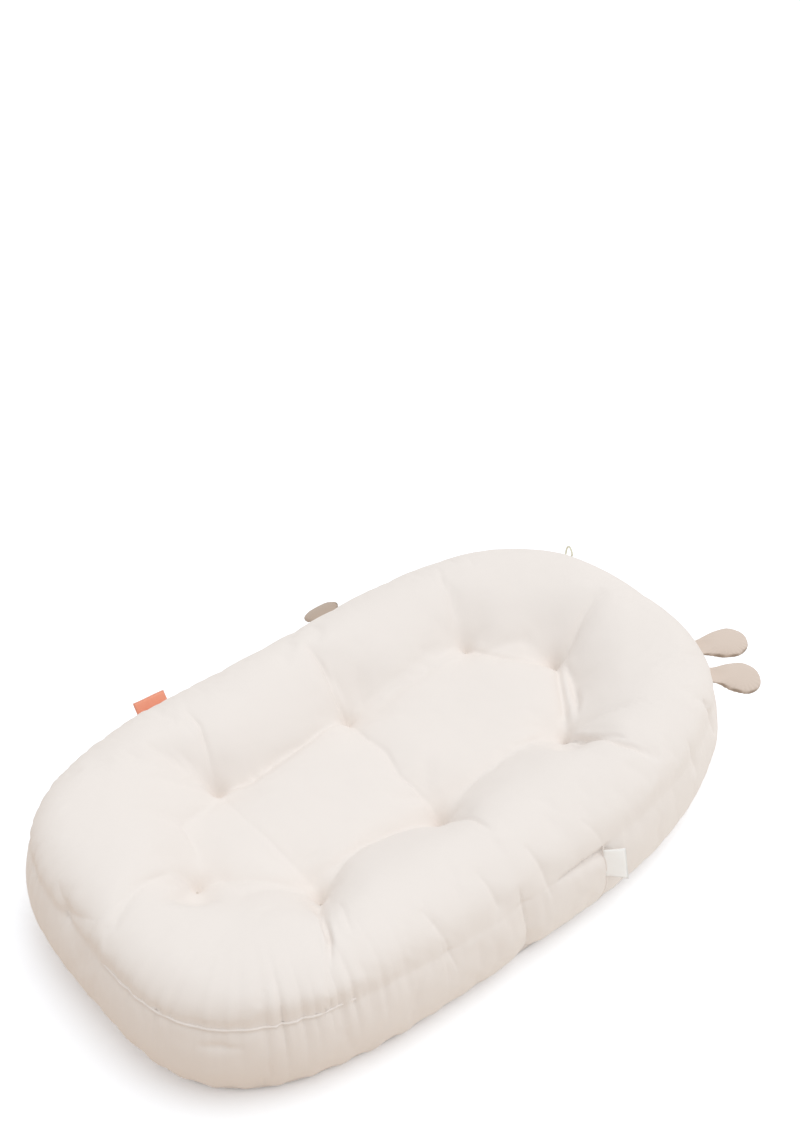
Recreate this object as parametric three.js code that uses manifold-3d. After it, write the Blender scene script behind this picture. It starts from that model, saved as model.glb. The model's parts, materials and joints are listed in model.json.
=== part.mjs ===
// Infant lounger: a stuffed cotton cushion with a puffed rim round a tufted bed, two padded ears at
// its head, one padded flap on its far side, two folded labels and a cord loop in its top seam.
// Millimetres, +Z up, +X to the head. The origin is on the floor, under the middle of the cushion.

import * as THREE from "three";
import { mergeVertices } from "three/addons/utils/BufferGeometryUtils.js";
import Module from "manifold-3d";

const wasm = await Module();
wasm.setup();

// Cushion, over its outer skin
const bodyLength = 780;
const bodyWidth = 460;
const rimHeight = 158;
const bedHeight = 122;
const tuftHeight = 83;
const seamHeight = 114;
const rimCrown = 66;
const bedEdge = 148;
const sideSag = 12;
const sagReach = 190;
const bandBulge = 11;
const baseInset = 13;
const baseSeamHeight = 4;
const baseEdgeReach = 26;
const footSquareness = 3.5;
const headSquareness = 2.7;
const headFlareShare = 0.03;
const bulgeLean = 0.85;
const insetSharpness = 3;
const edgeSharpness = 8;

// Tufts and creases pulled by them
const tuftSpread = 18;
const baseTuftDepth = 9;
const baseTuftReach = 32;
const floorCut = 0.5;
const radialCreaseDepth = 15;
const radialCreaseEnd = 5;
const radialCreaseWidth = 12;
const bedCreaseDepth = 9;
const bedCreaseWidth = 26;
const ringCreaseDepth = 10;
const ringCreaseWidth = 22;
const creaseFlank = 14;

// Cloth, thread and the gaps that sewn layers keep
const clothThickness = 1.2;
const layerGap = 0.4;
const seamRadius = 1.3;
const seamGap = 0.3;
const seamSides = 6;
const threadRadius = 1.4;
const threadGap = 0.4;
const knotRadius = 2.6;
const knotHeight = 1.8;
const threadSides = 6;

// Padded ears and the side flap
const earLength = 68;
const earWidth = 33;
const earRootWidth = 22;
const earThickness = 11;
const earDroop = 3;
const flapLength = 52;
const flapWidth = 46;
const flapRootWidth = 32;
const flapThickness = 9;
const flapDroop = 12;
const trimCloth = 0.8;
const trimGap = 0.3;
const trimRootShare = 0.3;
const labelTilt = 90;

// Folded labels
const orangeLabelWidth = 37;
const orangeLabelHeight = 14;
const whiteLabelWidth = 34;
const whiteLabelHeight = 20;
const ribbonThickness = 0.45;
const ribbonGap = 0.3;

// Places round the top seam, as angles from the head, seen from above, and rests above the horizon
const firstEarAngle = -21.6;
const secondEarAngle = -31.2;
const sideFlapAngle = 77.5;
const orangeLabelAngle = 113;
const bandJoinShare = 0.096;
const firstEarRise = -5;
const secondEarRise = -9;
const sideFlapRise = -14;
const orangeLabelRise = 63;
const whiteLabelSwing = 42;
const whiteLabelDrop = 3;

// Cord loop: its route in the row's own millimetres, chosen by hand
const cordDiameter = 2.2;
const cordSides = 8;
const cordSteps = 30;
const cordRoute = [
  [370.7, 113.9, 115.3], [371.0, 114.1, 117.6], [372.7, 114.3, 120.3], [374.3, 113.0, 123.2],
  [375.2, 111.0, 126.2], [375.7, 109.9, 129.2], [376.1, 110.6, 132.0], [377.2, 113.1, 134.1],
  [379.0, 116.8, 134.9], [380.4, 120.3, 134.1], [380.5, 122.6, 131.9], [379.3, 122.9, 129.0],
  [377.3, 121.6, 126.2], [374.6, 119.7, 123.3], [371.8, 118.4, 120.4], [369.3, 118.2, 117.7],
  [368.6, 118.0, 115.3],
];

// Places of the eight tufts and of the creases that run out from them, in shares of the cushion
const tuftShares = {
  head: [0.321, 0.013], farHead: [0.233, 0.193], farMiddle: [0.010, 0.204], farFoot: [-0.221, 0.198],
  foot: [-0.338, -0.009], nearFoot: [-0.222, -0.198], nearMiddle: [-0.008, -0.187], nearHead: [0.222, -0.198],
};
const creaseEndShares = {
  head: [0.415, 0.039], farHead: [0.262, 0.370], farMiddle: [0.010, 0.370], farFoot: [-0.197, 0.350],
  foot: [-0.440, -0.085], nearFoot: [-0.285, -0.390], nearMiddle: [-0.020, -0.370], nearHead: [0.233, -0.380],
};
const tuftNames = Object.keys(tuftShares);
const bedCreases = [["farFoot", "nearFoot"], ["farMiddle", "nearMiddle"], ["farHead", "nearHead"]];

// Grid of the skin: columns run round the cushion, rows run from the base over the rim to the bed
const straightColumnShare = 0.224;
const spanColumns = [5, 3, 3, 5];
const bendReach = 70;
const outlineSamples = 1440;
const tuftRingShare = 0.386;
const creaseRingShare = 0.70;
const topRingShares = [1, 0.95, 0.85, 0.70, 0.55, tuftRingShare, 0.24, 0];
const baseRingShares = [0, 0.24, tuftRingShare, 0.55, 0.88, 1];
const bandRowShares = [0, 0.14, 0.34, 0.58, 0.82, 1];
const fillingBandRows = [0, 2, 3, 5];
const fillingSkippedTopRow = 1;
const warpReach = 62;
const settleRounds = 40;
const weldDistance = 1e-4;
const leastTriangle = 1e-6;
const clothRoughness = 0.95;

const colours = {
  cotton: 0xeee8e2, base: 0xe6e0d8, thread: 0xe9e2da, seam: 0xe8e1d9, filling: 0xf6f6f4,
  taupe: 0xcfc1b4, orange: 0xf6a184, white: 0xf6f4ee, cord: 0xe6e3cc,
};

const smooth = (t) => {
  const u = THREE.MathUtils.clamp(t, 0, 1);
  return u * u * (3 - 2 * u);
};

// Outline of the top seam seen from above: a rounded oblong, squarer at the foot, wider at the head
function outlinePoint(angle) {
  const c = Math.cos(angle);
  const s = Math.sin(angle);
  const power = c > 0 ? headSquareness : footSquareness;
  const reach = (Math.abs(c) ** power + Math.abs(s) ** power) ** (-1 / power);
  const flare = 1 + headFlareShare * reach * c;
  return new THREE.Vector2(reach * c * bodyLength / 2, reach * s * flare * bodyWidth / 2);
}

// Value of a rising table at a place between two of its steps
function between(places, values, place) {
  const after = Math.max(1, places.findIndex((reached) => reached >= place));
  const t = (place - places[after - 1]) / (places[after] - places[after - 1]);
  return THREE.MathUtils.lerp(values[after - 1], values[after], t);
}

// Angles between two angles of the outline: a flank near either end, and steps that shorten at bends
function spanAngles(from, to, count) {
  const step = (to - from) / outlineSamples;
  const angles = Array.from({ length: outlineSamples + 1 }, (_, i) => from + step * i);
  const points = angles.map(outlinePoint);
  const lengths = [0];
  const weights = [0];
  for (let i = 1; i <= outlineSamples; i++) {
    const here = points[i].clone().sub(points[i - 1]);
    const before = i > 1 ? points[i - 1].clone().sub(points[i - 2]) : here;
    const bend = Math.abs(Math.atan2(before.cross(here), before.dot(here)));
    lengths.push(lengths[i - 1] + here.length());
    weights.push(weights[i - 1] + here.length() + bendReach * bend);
  }
  const first = between(lengths, weights, creaseFlank);
  const last = between(lengths, weights, lengths[outlineSamples] - creaseFlank);
  return Array.from({ length: count + 2 }, (_, k) => {
    return between(weights, angles, THREE.MathUtils.lerp(first, last, k / (count + 1)));
  });
}

// The angle at which the far side of the outline passes a given x
function angleAtX(x) {
  let low = 0;
  let high = Math.PI;
  for (let i = 0; i < outlineSamples; i++) {
    const middle = (low + high) / 2;
    if (outlinePoint(middle).x > x) low = middle;
    else high = middle;
  }
  return (low + high) / 2;
}

// Columns of the grid: one at each tuft with a flank on either side, and even ones between
const straightX = straightColumnShare * bodyLength;
const farAnchors = [0, angleAtX(straightX), angleAtX(0), angleAtX(-straightX), Math.PI];
const farAngles = [];
for (let i = 0; i < farAnchors.length - 1; i++) {
  farAngles.push(farAnchors[i], ...spanAngles(farAnchors[i], farAnchors[i + 1], spanColumns[i]));
}
farAngles.push(Math.PI);
const columnAngles = [...farAngles, ...farAngles.slice(1, -1).reverse().map((a) => -a)];
const columnCount = columnAngles.length;
const nextColumn = (i) => (i + 1) % columnCount;
const columns = columnAngles.map((angle) => {
  const outline = outlinePoint(angle);
  const spine = new THREE.Vector2(THREE.MathUtils.clamp(outline.x, -straightX, straightX), 0);
  return { angle, outline, spine, length: outline.distanceTo(spine) };
});
columns.forEach((column, i) => {
  const before = columns[(i + columnCount - 1) % columnCount].outline;
  const after = columns[nextColumn(i)].outline;
  const here = column.outline;
  const a = here.clone().sub(before).normalize();
  const b = after.clone().sub(here).normalize();
  column.normal = new THREE.Vector2(a.y + b.y, -a.x - b.x).normalize();
});

// Tufts in their true places, each with the grid column and the crease that it owns
const place = ([x, y]) => new THREE.Vector2(x * bodyLength, y * bodyWidth);
const anchorAngles = {
  head: 0, farHead: farAnchors[1], farMiddle: farAnchors[2], farFoot: farAnchors[3],
  foot: Math.PI, nearFoot: -farAnchors[3], nearMiddle: -farAnchors[2], nearHead: -farAnchors[1],
};
const tufts = tuftNames.map((name) => {
  const column = columns.findIndex((c) => c.angle === anchorAngles[name]);
  return { name, column, at: place(tuftShares[name]), creaseEnd: place(creaseEndShares[name]) };
});
const tuftAt = Object.fromEntries(tufts.map((tuft) => [tuft.name, tuft.at]));

const ringPoint = (column, share) => column.spine.clone().lerp(column.outline, share);

// Draws a grid over so that one of its points lies on each tuft, and on each crease's end if it has them
function drawing(withCreases) {
  const pulls = tufts.flatMap((tuft) => {
    const ends = [{ share: tuftRingShare, to: tuft.at }];
    if (withCreases) ends.push({ share: creaseRingShare, to: tuft.creaseEnd });
    return ends.map(({ share, to }) => {
      const from = ringPoint(columns[tuft.column], share);
      return { share, from, to, shift: new THREE.Vector2() };
    });
  });
  const drawn = (point, share) => {
    const moved = point.clone();
    const hold = 1 - share ** edgeSharpness;
    for (const { from, shift } of pulls) {
      moved.addScaledVector(shift, hold * Math.exp(-((point.distanceTo(from) / warpReach) ** 2)));
    }
    return moved;
  };
  for (let round = 0; round < settleRounds; round++) {
    for (const pull of pulls) {
      const missing = pull.to.clone().sub(drawn(pull.from, pull.share));
      pull.shift.add(missing);
    }
  }
  return drawn;
}
const drawnTop = drawing(true);
const drawnBase = drawing(false);

const sagAt = (x) => sideSag * Math.exp(-((x / sagReach) ** 2));
const seamLevel = (x) => seamHeight - sagAt(x);
const seamHalf = seamRadius + seamGap;

function distanceToSegment(p, a, b) {
  const along = b.clone().sub(a);
  const t = THREE.MathUtils.clamp(p.clone().sub(a).dot(along) / along.lengthSq(), 0, 1);
  return [p.distanceTo(a.clone().addScaledVector(along, t)), t];
}

// Depth of a crease between two points, which fades to either side and leaves its tufts alone
function crease(p, a, b, width, depthA, depthB, tuftsBeside) {
  const [distance, t] = distanceToSegment(p, a, b);
  const depth = (depthA + (depthB - depthA) * t) * Math.exp(-((distance / width) ** 2));
  return depth * smooth(Math.min(...tuftsBeside.map((tuft) => p.distanceTo(tuft))) / tuftSpread);
}

// Height of the top: quarter-round rim, a slope down to the bed, and what the tufts and creases pull in
function roundedTop(p, inward) {
  const rim = rimHeight - sagAt(p.x);
  const seam = seamLevel(p.x) + seamHalf;
  if (inward < rimCrown) return seam + (rim - seam) * Math.sqrt(1 - (1 - inward / rimCrown) ** 2);
  return rim - (rim - bedHeight) * smooth((inward - rimCrown) / (bedEdge - rimCrown));
}

function pulledIn(p) {
  let depth = 0;
  tufts.forEach(({ at, creaseEnd }, i) => {
    const next = tufts[(i + 1) % tufts.length].at;
    depth += (bedHeight - tuftHeight) * Math.exp(-p.distanceTo(at) / tuftSpread);
    depth += crease(p, at, creaseEnd, radialCreaseWidth, radialCreaseDepth, radialCreaseEnd, [at]);
    depth += crease(p, at, next, ringCreaseWidth, ringCreaseDepth, ringCreaseDepth, [at, next]);
  });
  for (const [a, b] of bedCreases.map((pair) => pair.map((name) => tuftAt[name]))) {
    depth += crease(p, a, b, bedCreaseWidth, bedCreaseDepth, bedCreaseDepth, [a, b]);
  }
  return depth;
}

// Height of the base: flat on the floor, drawn up a little at each tuft and at the seam
function baseHeight(p, inward) {
  let rise = 0;
  for (const tuft of tufts) {
    rise += (baseTuftDepth + floorCut) * smooth(1 - p.distanceTo(tuft.at) / baseTuftReach);
  }
  const edge = (baseSeamHeight - floorCut) * Math.max(0, 1 - inward / baseEdgeReach) ** 2;
  return Math.max(0, rise - floorCut) + edge;
}

// The band bows out between its seams and turns in under the cushion
function bandOffset(share) {
  return bandBulge * Math.sin(Math.PI * share ** bulgeLean) - baseInset * (1 - share) ** insetSharpness;
}

// The whole skin as a grid of points: rows of base rings, band rows and top rings
const rows = [];
for (const share of baseRingShares) {
  rows.push(columns.map((column) => {
    const inset = (baseInset + seamHalf) * share ** edgeSharpness;
    const flat = drawnBase(ringPoint(column, share), share).addScaledVector(column.normal, -inset);
    return new THREE.Vector3(flat.x, flat.y, baseHeight(flat, (1 - share) * column.length));
  }));
}
const baseEdgeRow = rows.length - 1;
const bandStartRow = rows.length;
for (const share of bandRowShares) {
  rows.push(columns.map((column) => {
    const flat = column.outline.clone().addScaledVector(column.normal, bandOffset(share));
    const bottom = baseSeamHeight + seamHalf;
    const top = seamLevel(column.outline.x) - seamHalf;
    return new THREE.Vector3(flat.x, flat.y, bottom + (top - bottom) * share);
  }));
}
const bandEndRow = rows.length - 1;
const topEdgeRow = rows.length;
for (const share of topRingShares) {
  rows.push(columns.map((column) => {
    const flat = drawnTop(ringPoint(column, share), share);
    const inward = (1 - share) * column.length;
    const height = roundedTop(flat, inward) - pulledIn(flat) * smooth(inward / rimCrown);
    return new THREE.Vector3(flat.x, flat.y, height);
  }));
}
const lastRow = rows.length - 1;

// Outward direction at each point of the skin, shared where points meet, and level at the sewn edges
const keyOf = (p) => p.toArray().map((v) => Math.round(v / weldDistance)).join(",");
const summed = new Map();
function addNormal(a, b, c) {
  const n = b.clone().sub(a).cross(c.clone().sub(a));
  for (const p of [a, b, c]) {
    const key = keyOf(p);
    if (!summed.has(key)) summed.set(key, new THREE.Vector3());
    summed.get(key).add(n);
  }
}
for (let r = 0; r < lastRow; r++) {
  for (let i = 0; i < columnCount; i++) {
    const j = nextColumn(i);
    addNormal(rows[r][i], rows[r][j], rows[r + 1][j]);
    addNormal(rows[r][i], rows[r + 1][j], rows[r + 1][i]);
  }
}
const outward = rows.map((row, r) => row.map((p, i) => {
  const level = new THREE.Vector3(columns[i].normal.x, columns[i].normal.y, 0);
  if (r === baseEdgeRow) return new THREE.Vector3(0, 0, -1);
  if (r === bandStartRow || r === bandEndRow || r === topEdgeRow) return level;
  return summed.get(keyOf(p)).clone().normalize();
}));
function skin(depth) {
  return rows.map((row, r) => row.map((p, i) => p.clone().addScaledVector(outward[r][i], -depth)));
}
const outerSkin = skin(0);
const innerSkin = skin(clothThickness);
const fillingSkin = skin(clothThickness + layerGap);

// Collects triangles, leaves out those that have collapsed, and gives one merged closed body
class Body {
  constructor() {
    this.points = [];
  }

  triangle(a, b, c) {
    const area = b.clone().sub(a).cross(c.clone().sub(a)).length();
    if (area > leastTriangle) this.points.push(a, b, c);
  }

  quad(a, b, c, d) {
    this.triangle(a, b, c);
    this.triangle(a, c, d);
  }

  geometry() {
    return welded(new THREE.BufferGeometry().setFromPoints(this.points));
  }
}

function welded(geometry) {
  const bare = geometry.index ? geometry.toNonIndexed() : geometry;
  for (const name of Object.keys(bare.attributes)) if (name !== "position") bare.deleteAttribute(name);
  return mergeVertices(bare, weldDistance);
}

function solid(geometry) {
  const clean = welded(geometry);
  return new wasm.Manifold(new wasm.Mesh({
    numProp: 3,
    vertProperties: new Float32Array(clean.attributes.position.array),
    triVerts: new Uint32Array(clean.index.array),
  }));
}

function geometryOf(manifold) {
  const { vertProperties, triVerts, numProp } = manifold.getMesh();
  const geometry = new THREE.BufferGeometry();
  const positions = [];
  for (let i = 0; i < vertProperties.length; i += numProp) positions.push(...vertProperties.slice(i, i + 3));
  geometry.setAttribute("position", new THREE.Float32BufferAttribute(positions, 3));
  geometry.setIndex(Array.from(triVerts));
  return geometry;
}

const lounger = new THREE.Group();
function addPiece(name, geometry, color, parent = lounger) {
  const fabric = new THREE.MeshStandardMaterial({ color, roughness: clothRoughness, metalness: 0 });
  const mesh = new THREE.Mesh(geometry, fabric);
  mesh.name = name;
  parent.add(mesh);
}

// A panel of cloth between two rows of the skin, with its raw edge at the row that is sewn
function panel(firstRow, finalRow, edgeRow) {
  const body = new Body();
  for (let r = firstRow; r < finalRow; r++) {
    for (let i = 0; i < columnCount; i++) {
      const j = nextColumn(i);
      body.quad(outerSkin[r][i], outerSkin[r][j], outerSkin[r + 1][j], outerSkin[r + 1][i]);
      body.quad(innerSkin[r][i], innerSkin[r + 1][i], innerSkin[r + 1][j], innerSkin[r][j]);
    }
  }
  for (let i = 0; i < columnCount; i++) {
    const j = nextColumn(i);
    if (edgeRow === firstRow) {
      body.quad(outerSkin[edgeRow][j], outerSkin[edgeRow][i], innerSkin[edgeRow][i], innerSkin[edgeRow][j]);
    } else {
      body.quad(outerSkin[edgeRow][i], outerSkin[edgeRow][j], innerSkin[edgeRow][j], innerSkin[edgeRow][i]);
    }
  }
  return body.geometry();
}

// Holes that the tufting thread passes through, cut at every tuft
function threadHoles() {
  const radius = threadRadius + threadGap;
  let holes = null;
  for (const tuft of tufts) {
    const hole = new THREE.CylinderGeometry(radius, radius, 2 * rimHeight, threadSides);
    hole.rotateX(Math.PI / 2);
    hole.translate(tuft.at.x, tuft.at.y, 0);
    holes = holes ? holes.add(solid(hole)) : solid(hole);
  }
  return holes;
}
const holes = threadHoles();
const pierced = (geometry) => geometryOf(solid(geometry).subtract(holes));

// Top panel: one piece of cotton, eased over the rim and pulled down at the tufts
addPiece("top_panel", pierced(panel(topEdgeRow, lastRow, topEdgeRow)), colours.cotton);

// Base panel: one piece of cotton, flat on the floor
addPiece("base_panel", pierced(panel(0, baseEdgeRow, baseEdgeRow)), colours.base);

// Side band: two strips, joined by an upright seam on either side
const joinX = bandJoinShare * bodyLength;
function columnNear(x, far) {
  const side = columns.map((c, i) => ({ i, gap: Math.abs(c.outline.x - x), far: c.outline.y > 0 }));
  return side.filter((c) => c.far === far).reduce((a, b) => (b.gap < a.gap ? b : a)).i;
}
const farJoin = columnNear(joinX, true);
const nearJoin = columnNear(joinX, false);

function bandStrip(from, to) {
  const strip = [];
  const count = (to - from + columnCount) % columnCount;
  for (let k = 0; k <= count; k++) {
    const i = (from + k) % columnCount;
    const tangent = new THREE.Vector3(-columns[i].normal.y, columns[i].normal.x, 0);
    const shift = k === 0 ? seamGap / 2 : k === count ? -seamGap / 2 : 0;
    const moved = (grid) => grid.slice(bandStartRow, bandEndRow + 1)
      .map((row) => row[i].clone().addScaledVector(tangent, shift));
    strip.push({ outer: moved(outerSkin), inner: moved(innerSkin) });
  }
  const body = new Body();
  const top = bandEndRow - bandStartRow;
  for (let k = 0; k < count; k++) {
    const a = strip[k];
    const b = strip[k + 1];
    for (let r = 0; r < top; r++) {
      body.quad(a.outer[r], b.outer[r], b.outer[r + 1], a.outer[r + 1]);
      body.quad(a.inner[r], a.inner[r + 1], b.inner[r + 1], b.inner[r]);
    }
    body.quad(a.outer[0], a.inner[0], b.inner[0], b.outer[0]);
    body.quad(a.outer[top], b.outer[top], b.inner[top], a.inner[top]);
  }
  for (let r = 0; r < top; r++) {
    const a = strip[0];
    const b = strip[count];
    body.quad(a.outer[r], a.outer[r + 1], a.inner[r + 1], a.inner[r]);
    body.quad(b.outer[r], b.inner[r], b.inner[r + 1], b.outer[r + 1]);
  }
  return body.geometry();
}
addPiece("side_band_head", bandStrip(nearJoin, farJoin), colours.cotton);
addPiece("side_band_foot", bandStrip(farJoin, nearJoin), colours.cotton);

// Fibre filling: one body inside the cotton, with a channel for each tufting thread
function filling() {
  const kept = fillingSkin.filter((row, r) => {
    const inBand = r >= bandStartRow && r <= bandEndRow;
    if (inBand) return fillingBandRows.includes(r - bandStartRow);
    return r !== topEdgeRow + fillingSkippedTopRow;
  });
  const body = new Body();
  for (let r = 0; r < kept.length - 1; r++) {
    for (let i = 0; i < columnCount; i++) {
      const j = nextColumn(i);
      body.quad(kept[r][i], kept[r][j], kept[r + 1][j], kept[r + 1][i]);
    }
  }
  return body.geometry();
}
addPiece("fibre_filling", pierced(filling()), colours.filling);

// Tufting threads: a knot in the bed, a thread through the filling and a knot under the base
const ringRow = topEdgeRow + topRingShares.indexOf(tuftRingShare);
const baseRingRow = baseRingShares.indexOf(tuftRingShare);
const ringSteps = [[-1, -1], [-1, 0], [-1, 1], [0, 1], [1, 1], [1, 0], [1, -1], [0, -1]];
function knotClearance(grid, row, column) {
  const here = grid[row][column];
  const around = ringSteps.map(([r, c]) => {
    const beside = grid[row + r][(column + c + columnCount) % columnCount];
    return beside.clone().sub(here);
  });
  const slopes = around.map((p, k) => {
    const n = p.clone().cross(around[(k + 1) % around.length]);
    return Math.hypot(n.x, n.y) / Math.abs(n.z);
  });
  return Math.max(...slopes) * knotRadius + seamGap;
}
tufts.forEach((tuft, k) => {
  const bed = outerSkin[ringRow][tuft.column].z + knotClearance(outerSkin, ringRow, tuft.column);
  const under = outerSkin[baseRingRow][tuft.column].z - knotClearance(outerSkin, baseRingRow, tuft.column);
  const profile = [
    [0, under - knotHeight], [knotRadius, under - knotHeight], [knotRadius, under], [threadRadius, under],
    [threadRadius, bed], [knotRadius, bed], [knotRadius, bed + knotHeight], [0, bed + knotHeight],
  ].map(([r, z]) => new THREE.Vector2(r, z));
  const tie = new THREE.LatheGeometry(profile, threadSides);
  tie.rotateX(Math.PI / 2);
  tie.translate(tuft.at.x, tuft.at.y, 0);
  addPiece(`tuft_tie_${k + 1}`, welded(tie), colours.thread);
});

// Seams: the sewn edges of top, band and base show as a narrow ridge all the way round
function seamRidge(centres) {
  const body = new Body();
  const sections = centres.map((centre, i) => Array.from({ length: seamSides }, (_, k) => {
    const turn = 2 * Math.PI * k / seamSides;
    const out = seamRadius * Math.cos(turn);
    const { x, y } = columns[i].normal;
    return centre.clone().add(new THREE.Vector3(x * out, y * out, seamRadius * Math.sin(turn)));
  }));
  sections.forEach((a, i) => {
    const b = sections[nextColumn(i)];
    for (let k = 0; k < seamSides; k++) {
      const next = (k + 1) % seamSides;
      body.quad(a[k], b[k], b[next], a[next]);
    }
  });
  return body.geometry();
}
const seamCentre = (column, offset, z) => {
  const flat = column.outline.clone().addScaledVector(column.normal, offset);
  return new THREE.Vector3(flat.x, flat.y, z);
};
const topSeamCentres = columns.map((column) => seamCentre(column, 0, seamLevel(column.outline.x)));
const baseSeamCentres = columns.map((column) => seamCentre(column, -baseInset, baseSeamHeight));
addPiece("top_seam", seamRidge(topSeamCentres), colours.seam);
addPiece("base_seam", seamRidge(baseSeamCentres), colours.seam);

// A hinge line outside the top seam: where a trim is sewn in, and the frame that it stands in
function seamHinge(degrees, halfThickness) {
  const angle = THREE.MathUtils.degToRad(degrees);
  const ray = outlinePoint(angle);
  const turns = columns.map(({ outline }) => Math.atan2(ray.cross(outline), ray.dot(outline)));
  const i = columns.findIndex(({ outline }, k) => {
    return turns[k] <= 0 && turns[nextColumn(k)] > 0 && ray.dot(outline) > 0;
  });
  const a = topSeamCentres[i];
  const b = topSeamCentres[nextColumn(i)];
  const share = turns[i] / (turns[i] - turns[nextColumn(i)]);
  const along = b.clone().sub(a).normalize();
  const out = new THREE.Vector3(along.y, -along.x, 0).normalize();
  const up = out.clone().cross(along).normalize();
  const origin = a.clone().lerp(b, share).addScaledVector(out, seamRadius + seamGap + halfThickness);
  return { origin, along, out, up };
}

// Local X runs out from the seam, local Y along it, and the trim is raised about the seam line
function hingedGroup({ origin, along, out, up }, riseDegrees) {
  const group = new THREE.Group();
  const turn = new THREE.Matrix4().makeBasis(out, along, up);
  group.quaternion.setFromRotationMatrix(turn);
  group.position.copy(origin);
  group.rotateY(-THREE.MathUtils.degToRad(riseDegrees));
  lounger.add(group);
  return group;
}

// Paddle of two cloth faces with wadding between: flat sewn edge, narrow flat root, full round end
const paddleStationShares = [0, 0.15, 0.34, 0.55, 0.74, 0.89, 0.975];
const paddleFullShare = 0.64;
const paddleCentreShare = 0.55;
const paddleRingShares = [0.34, 0.64, 0.80, 0.88];
const paddleFlatShare = 0.88;
const paddleRootFlatShare = 0.02;
const paddleRiseShare = 0.4;
const trimInside = trimGap / 2;
const trimOutside = trimInside + trimCloth;
const trimRoot = Math.hypot(trimOutside, trimRootShare * trimOutside);

function paddle(name, hinge, rise, { length, width, rootWidth, thickness, droop }) {
  const half = (q) => (q < paddleFullShare
    ? (rootWidth + (width - rootWidth) * smooth(q / paddleFullShare)) / 2
    : width / 2 * Math.sqrt(Math.max(0, 1 - ((q - paddleFullShare) / (1 - paddleFullShare)) ** 2)));
  const edge = [
    ...paddleStationShares.map((q) => [q, half(q)]), [1, 0],
    ...paddleStationShares.slice().reverse().map((q) => [q, -half(q)]),
  ];
  const bow = (x) => -droop * (x / length) ** 2;
  const fullness = thickness / 2 - trimOutside;
  const dome = (share, q) => fullness * Math.sqrt(Math.max(0, 1 - (share / paddleFlatShare) ** 2))
    * smooth((q - paddleRootFlatShare) / paddleRiseShare);
  const ring = (share, height, side, rootX) => edge.map(([q, y]) => {
    const at = paddleCentreShare + (q - paddleCentreShare) * share;
    const x = q === 0 && share === 1 ? rootX : at * length;
    return new THREE.Vector3(x, y * share, bow(x) + side * (height + dome(share, at)));
  });
  const centre = (height, side) => new THREE.Vector3(paddleCentreShare * length, 0,
    bow(paddleCentreShare * length) + side * (height + dome(0, paddleCentreShare)));
  const cap = (body, rings, middle, side) => {
    const n = edge.length;
    for (let i = 0; i < n; i++) {
      const j = (i + 1) % n;
      const flip = (a, b, c) => (side > 0 ? body.triangle(a, c, b) : body.triangle(a, b, c));
      flip(middle, rings[0][i], rings[0][j]);
      for (let r = 0; r < rings.length - 1; r++) {
        flip(rings[r][i], rings[r + 1][i], rings[r + 1][j]);
        flip(rings[r][i], rings[r + 1][j], rings[r][j]);
      }
    }
  };
  const wall = (body, upper, lower) => {
    for (let i = 0; i < edge.length; i++) {
      const j = (i + 1) % edge.length;
      body.quad(upper[i], upper[j], lower[j], lower[i]);
    }
  };
  const layer = (height, side) => {
    const rootX = -Math.sqrt(trimRoot ** 2 - height ** 2);
    return [...paddleRingShares, 1].map((share) => ring(share, height, side, rootX));
  };
  const face = (side) => {
    const body = new Body();
    const outer = layer(trimOutside, side);
    const inner = layer(trimInside, side);
    cap(body, outer, centre(trimOutside, side), side);
    cap(body, inner, centre(trimInside, side), -side);
    const [upper, lower] = side > 0 ? [outer, inner] : [inner, outer];
    wall(body, upper[upper.length - 1], lower[lower.length - 1]);
    return body.geometry();
  };
  const wadding = () => {
    const body = new Body();
    const shares = paddleRingShares.slice(0, -1);
    const inner = trimInside / 2;
    const liftOf = (share, at) => Math.max(inner, dome(share, at) + inner - trimGap);
    const faceOf = (side) => shares.map((share) => edge.map(([q, y]) => {
      const at = paddleCentreShare + (q - paddleCentreShare) * share;
      return new THREE.Vector3(at * length, y * share, bow(at * length) + side * liftOf(share, at));
    }));
    const middle = (side) => new THREE.Vector3(paddleCentreShare * length, 0,
      bow(paddleCentreShare * length) + side * liftOf(0, paddleCentreShare));
    const top = faceOf(1);
    const bottom = faceOf(-1);
    cap(body, top, middle(1), 1);
    cap(body, bottom, middle(-1), -1);
    wall(body, top[top.length - 1], bottom[bottom.length - 1]);
    return body.geometry();
  };
  const group = hingedGroup(hinge, rise);
  addPiece(`${name}_upper_cloth`, face(1), colours.taupe, group);
  addPiece(`${name}_lower_cloth`, face(-1), colours.taupe, group);
  addPiece(`${name}_wadding`, wadding(), colours.filling, group);
}

const ear = {
  length: earLength, width: earWidth, rootWidth: earRootWidth, thickness: earThickness, droop: earDroop,
};
const flap = {
  length: flapLength, width: flapWidth, rootWidth: flapRootWidth, thickness: flapThickness, droop: flapDroop,
};
paddle("ear_1", seamHinge(firstEarAngle, trimRoot), firstEarRise, ear);
paddle("ear_2", seamHinge(secondEarAngle, trimRoot), secondEarRise, ear);
paddle("side_flap", seamHinge(sideFlapAngle, trimRoot), sideFlapRise, flap);

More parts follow.
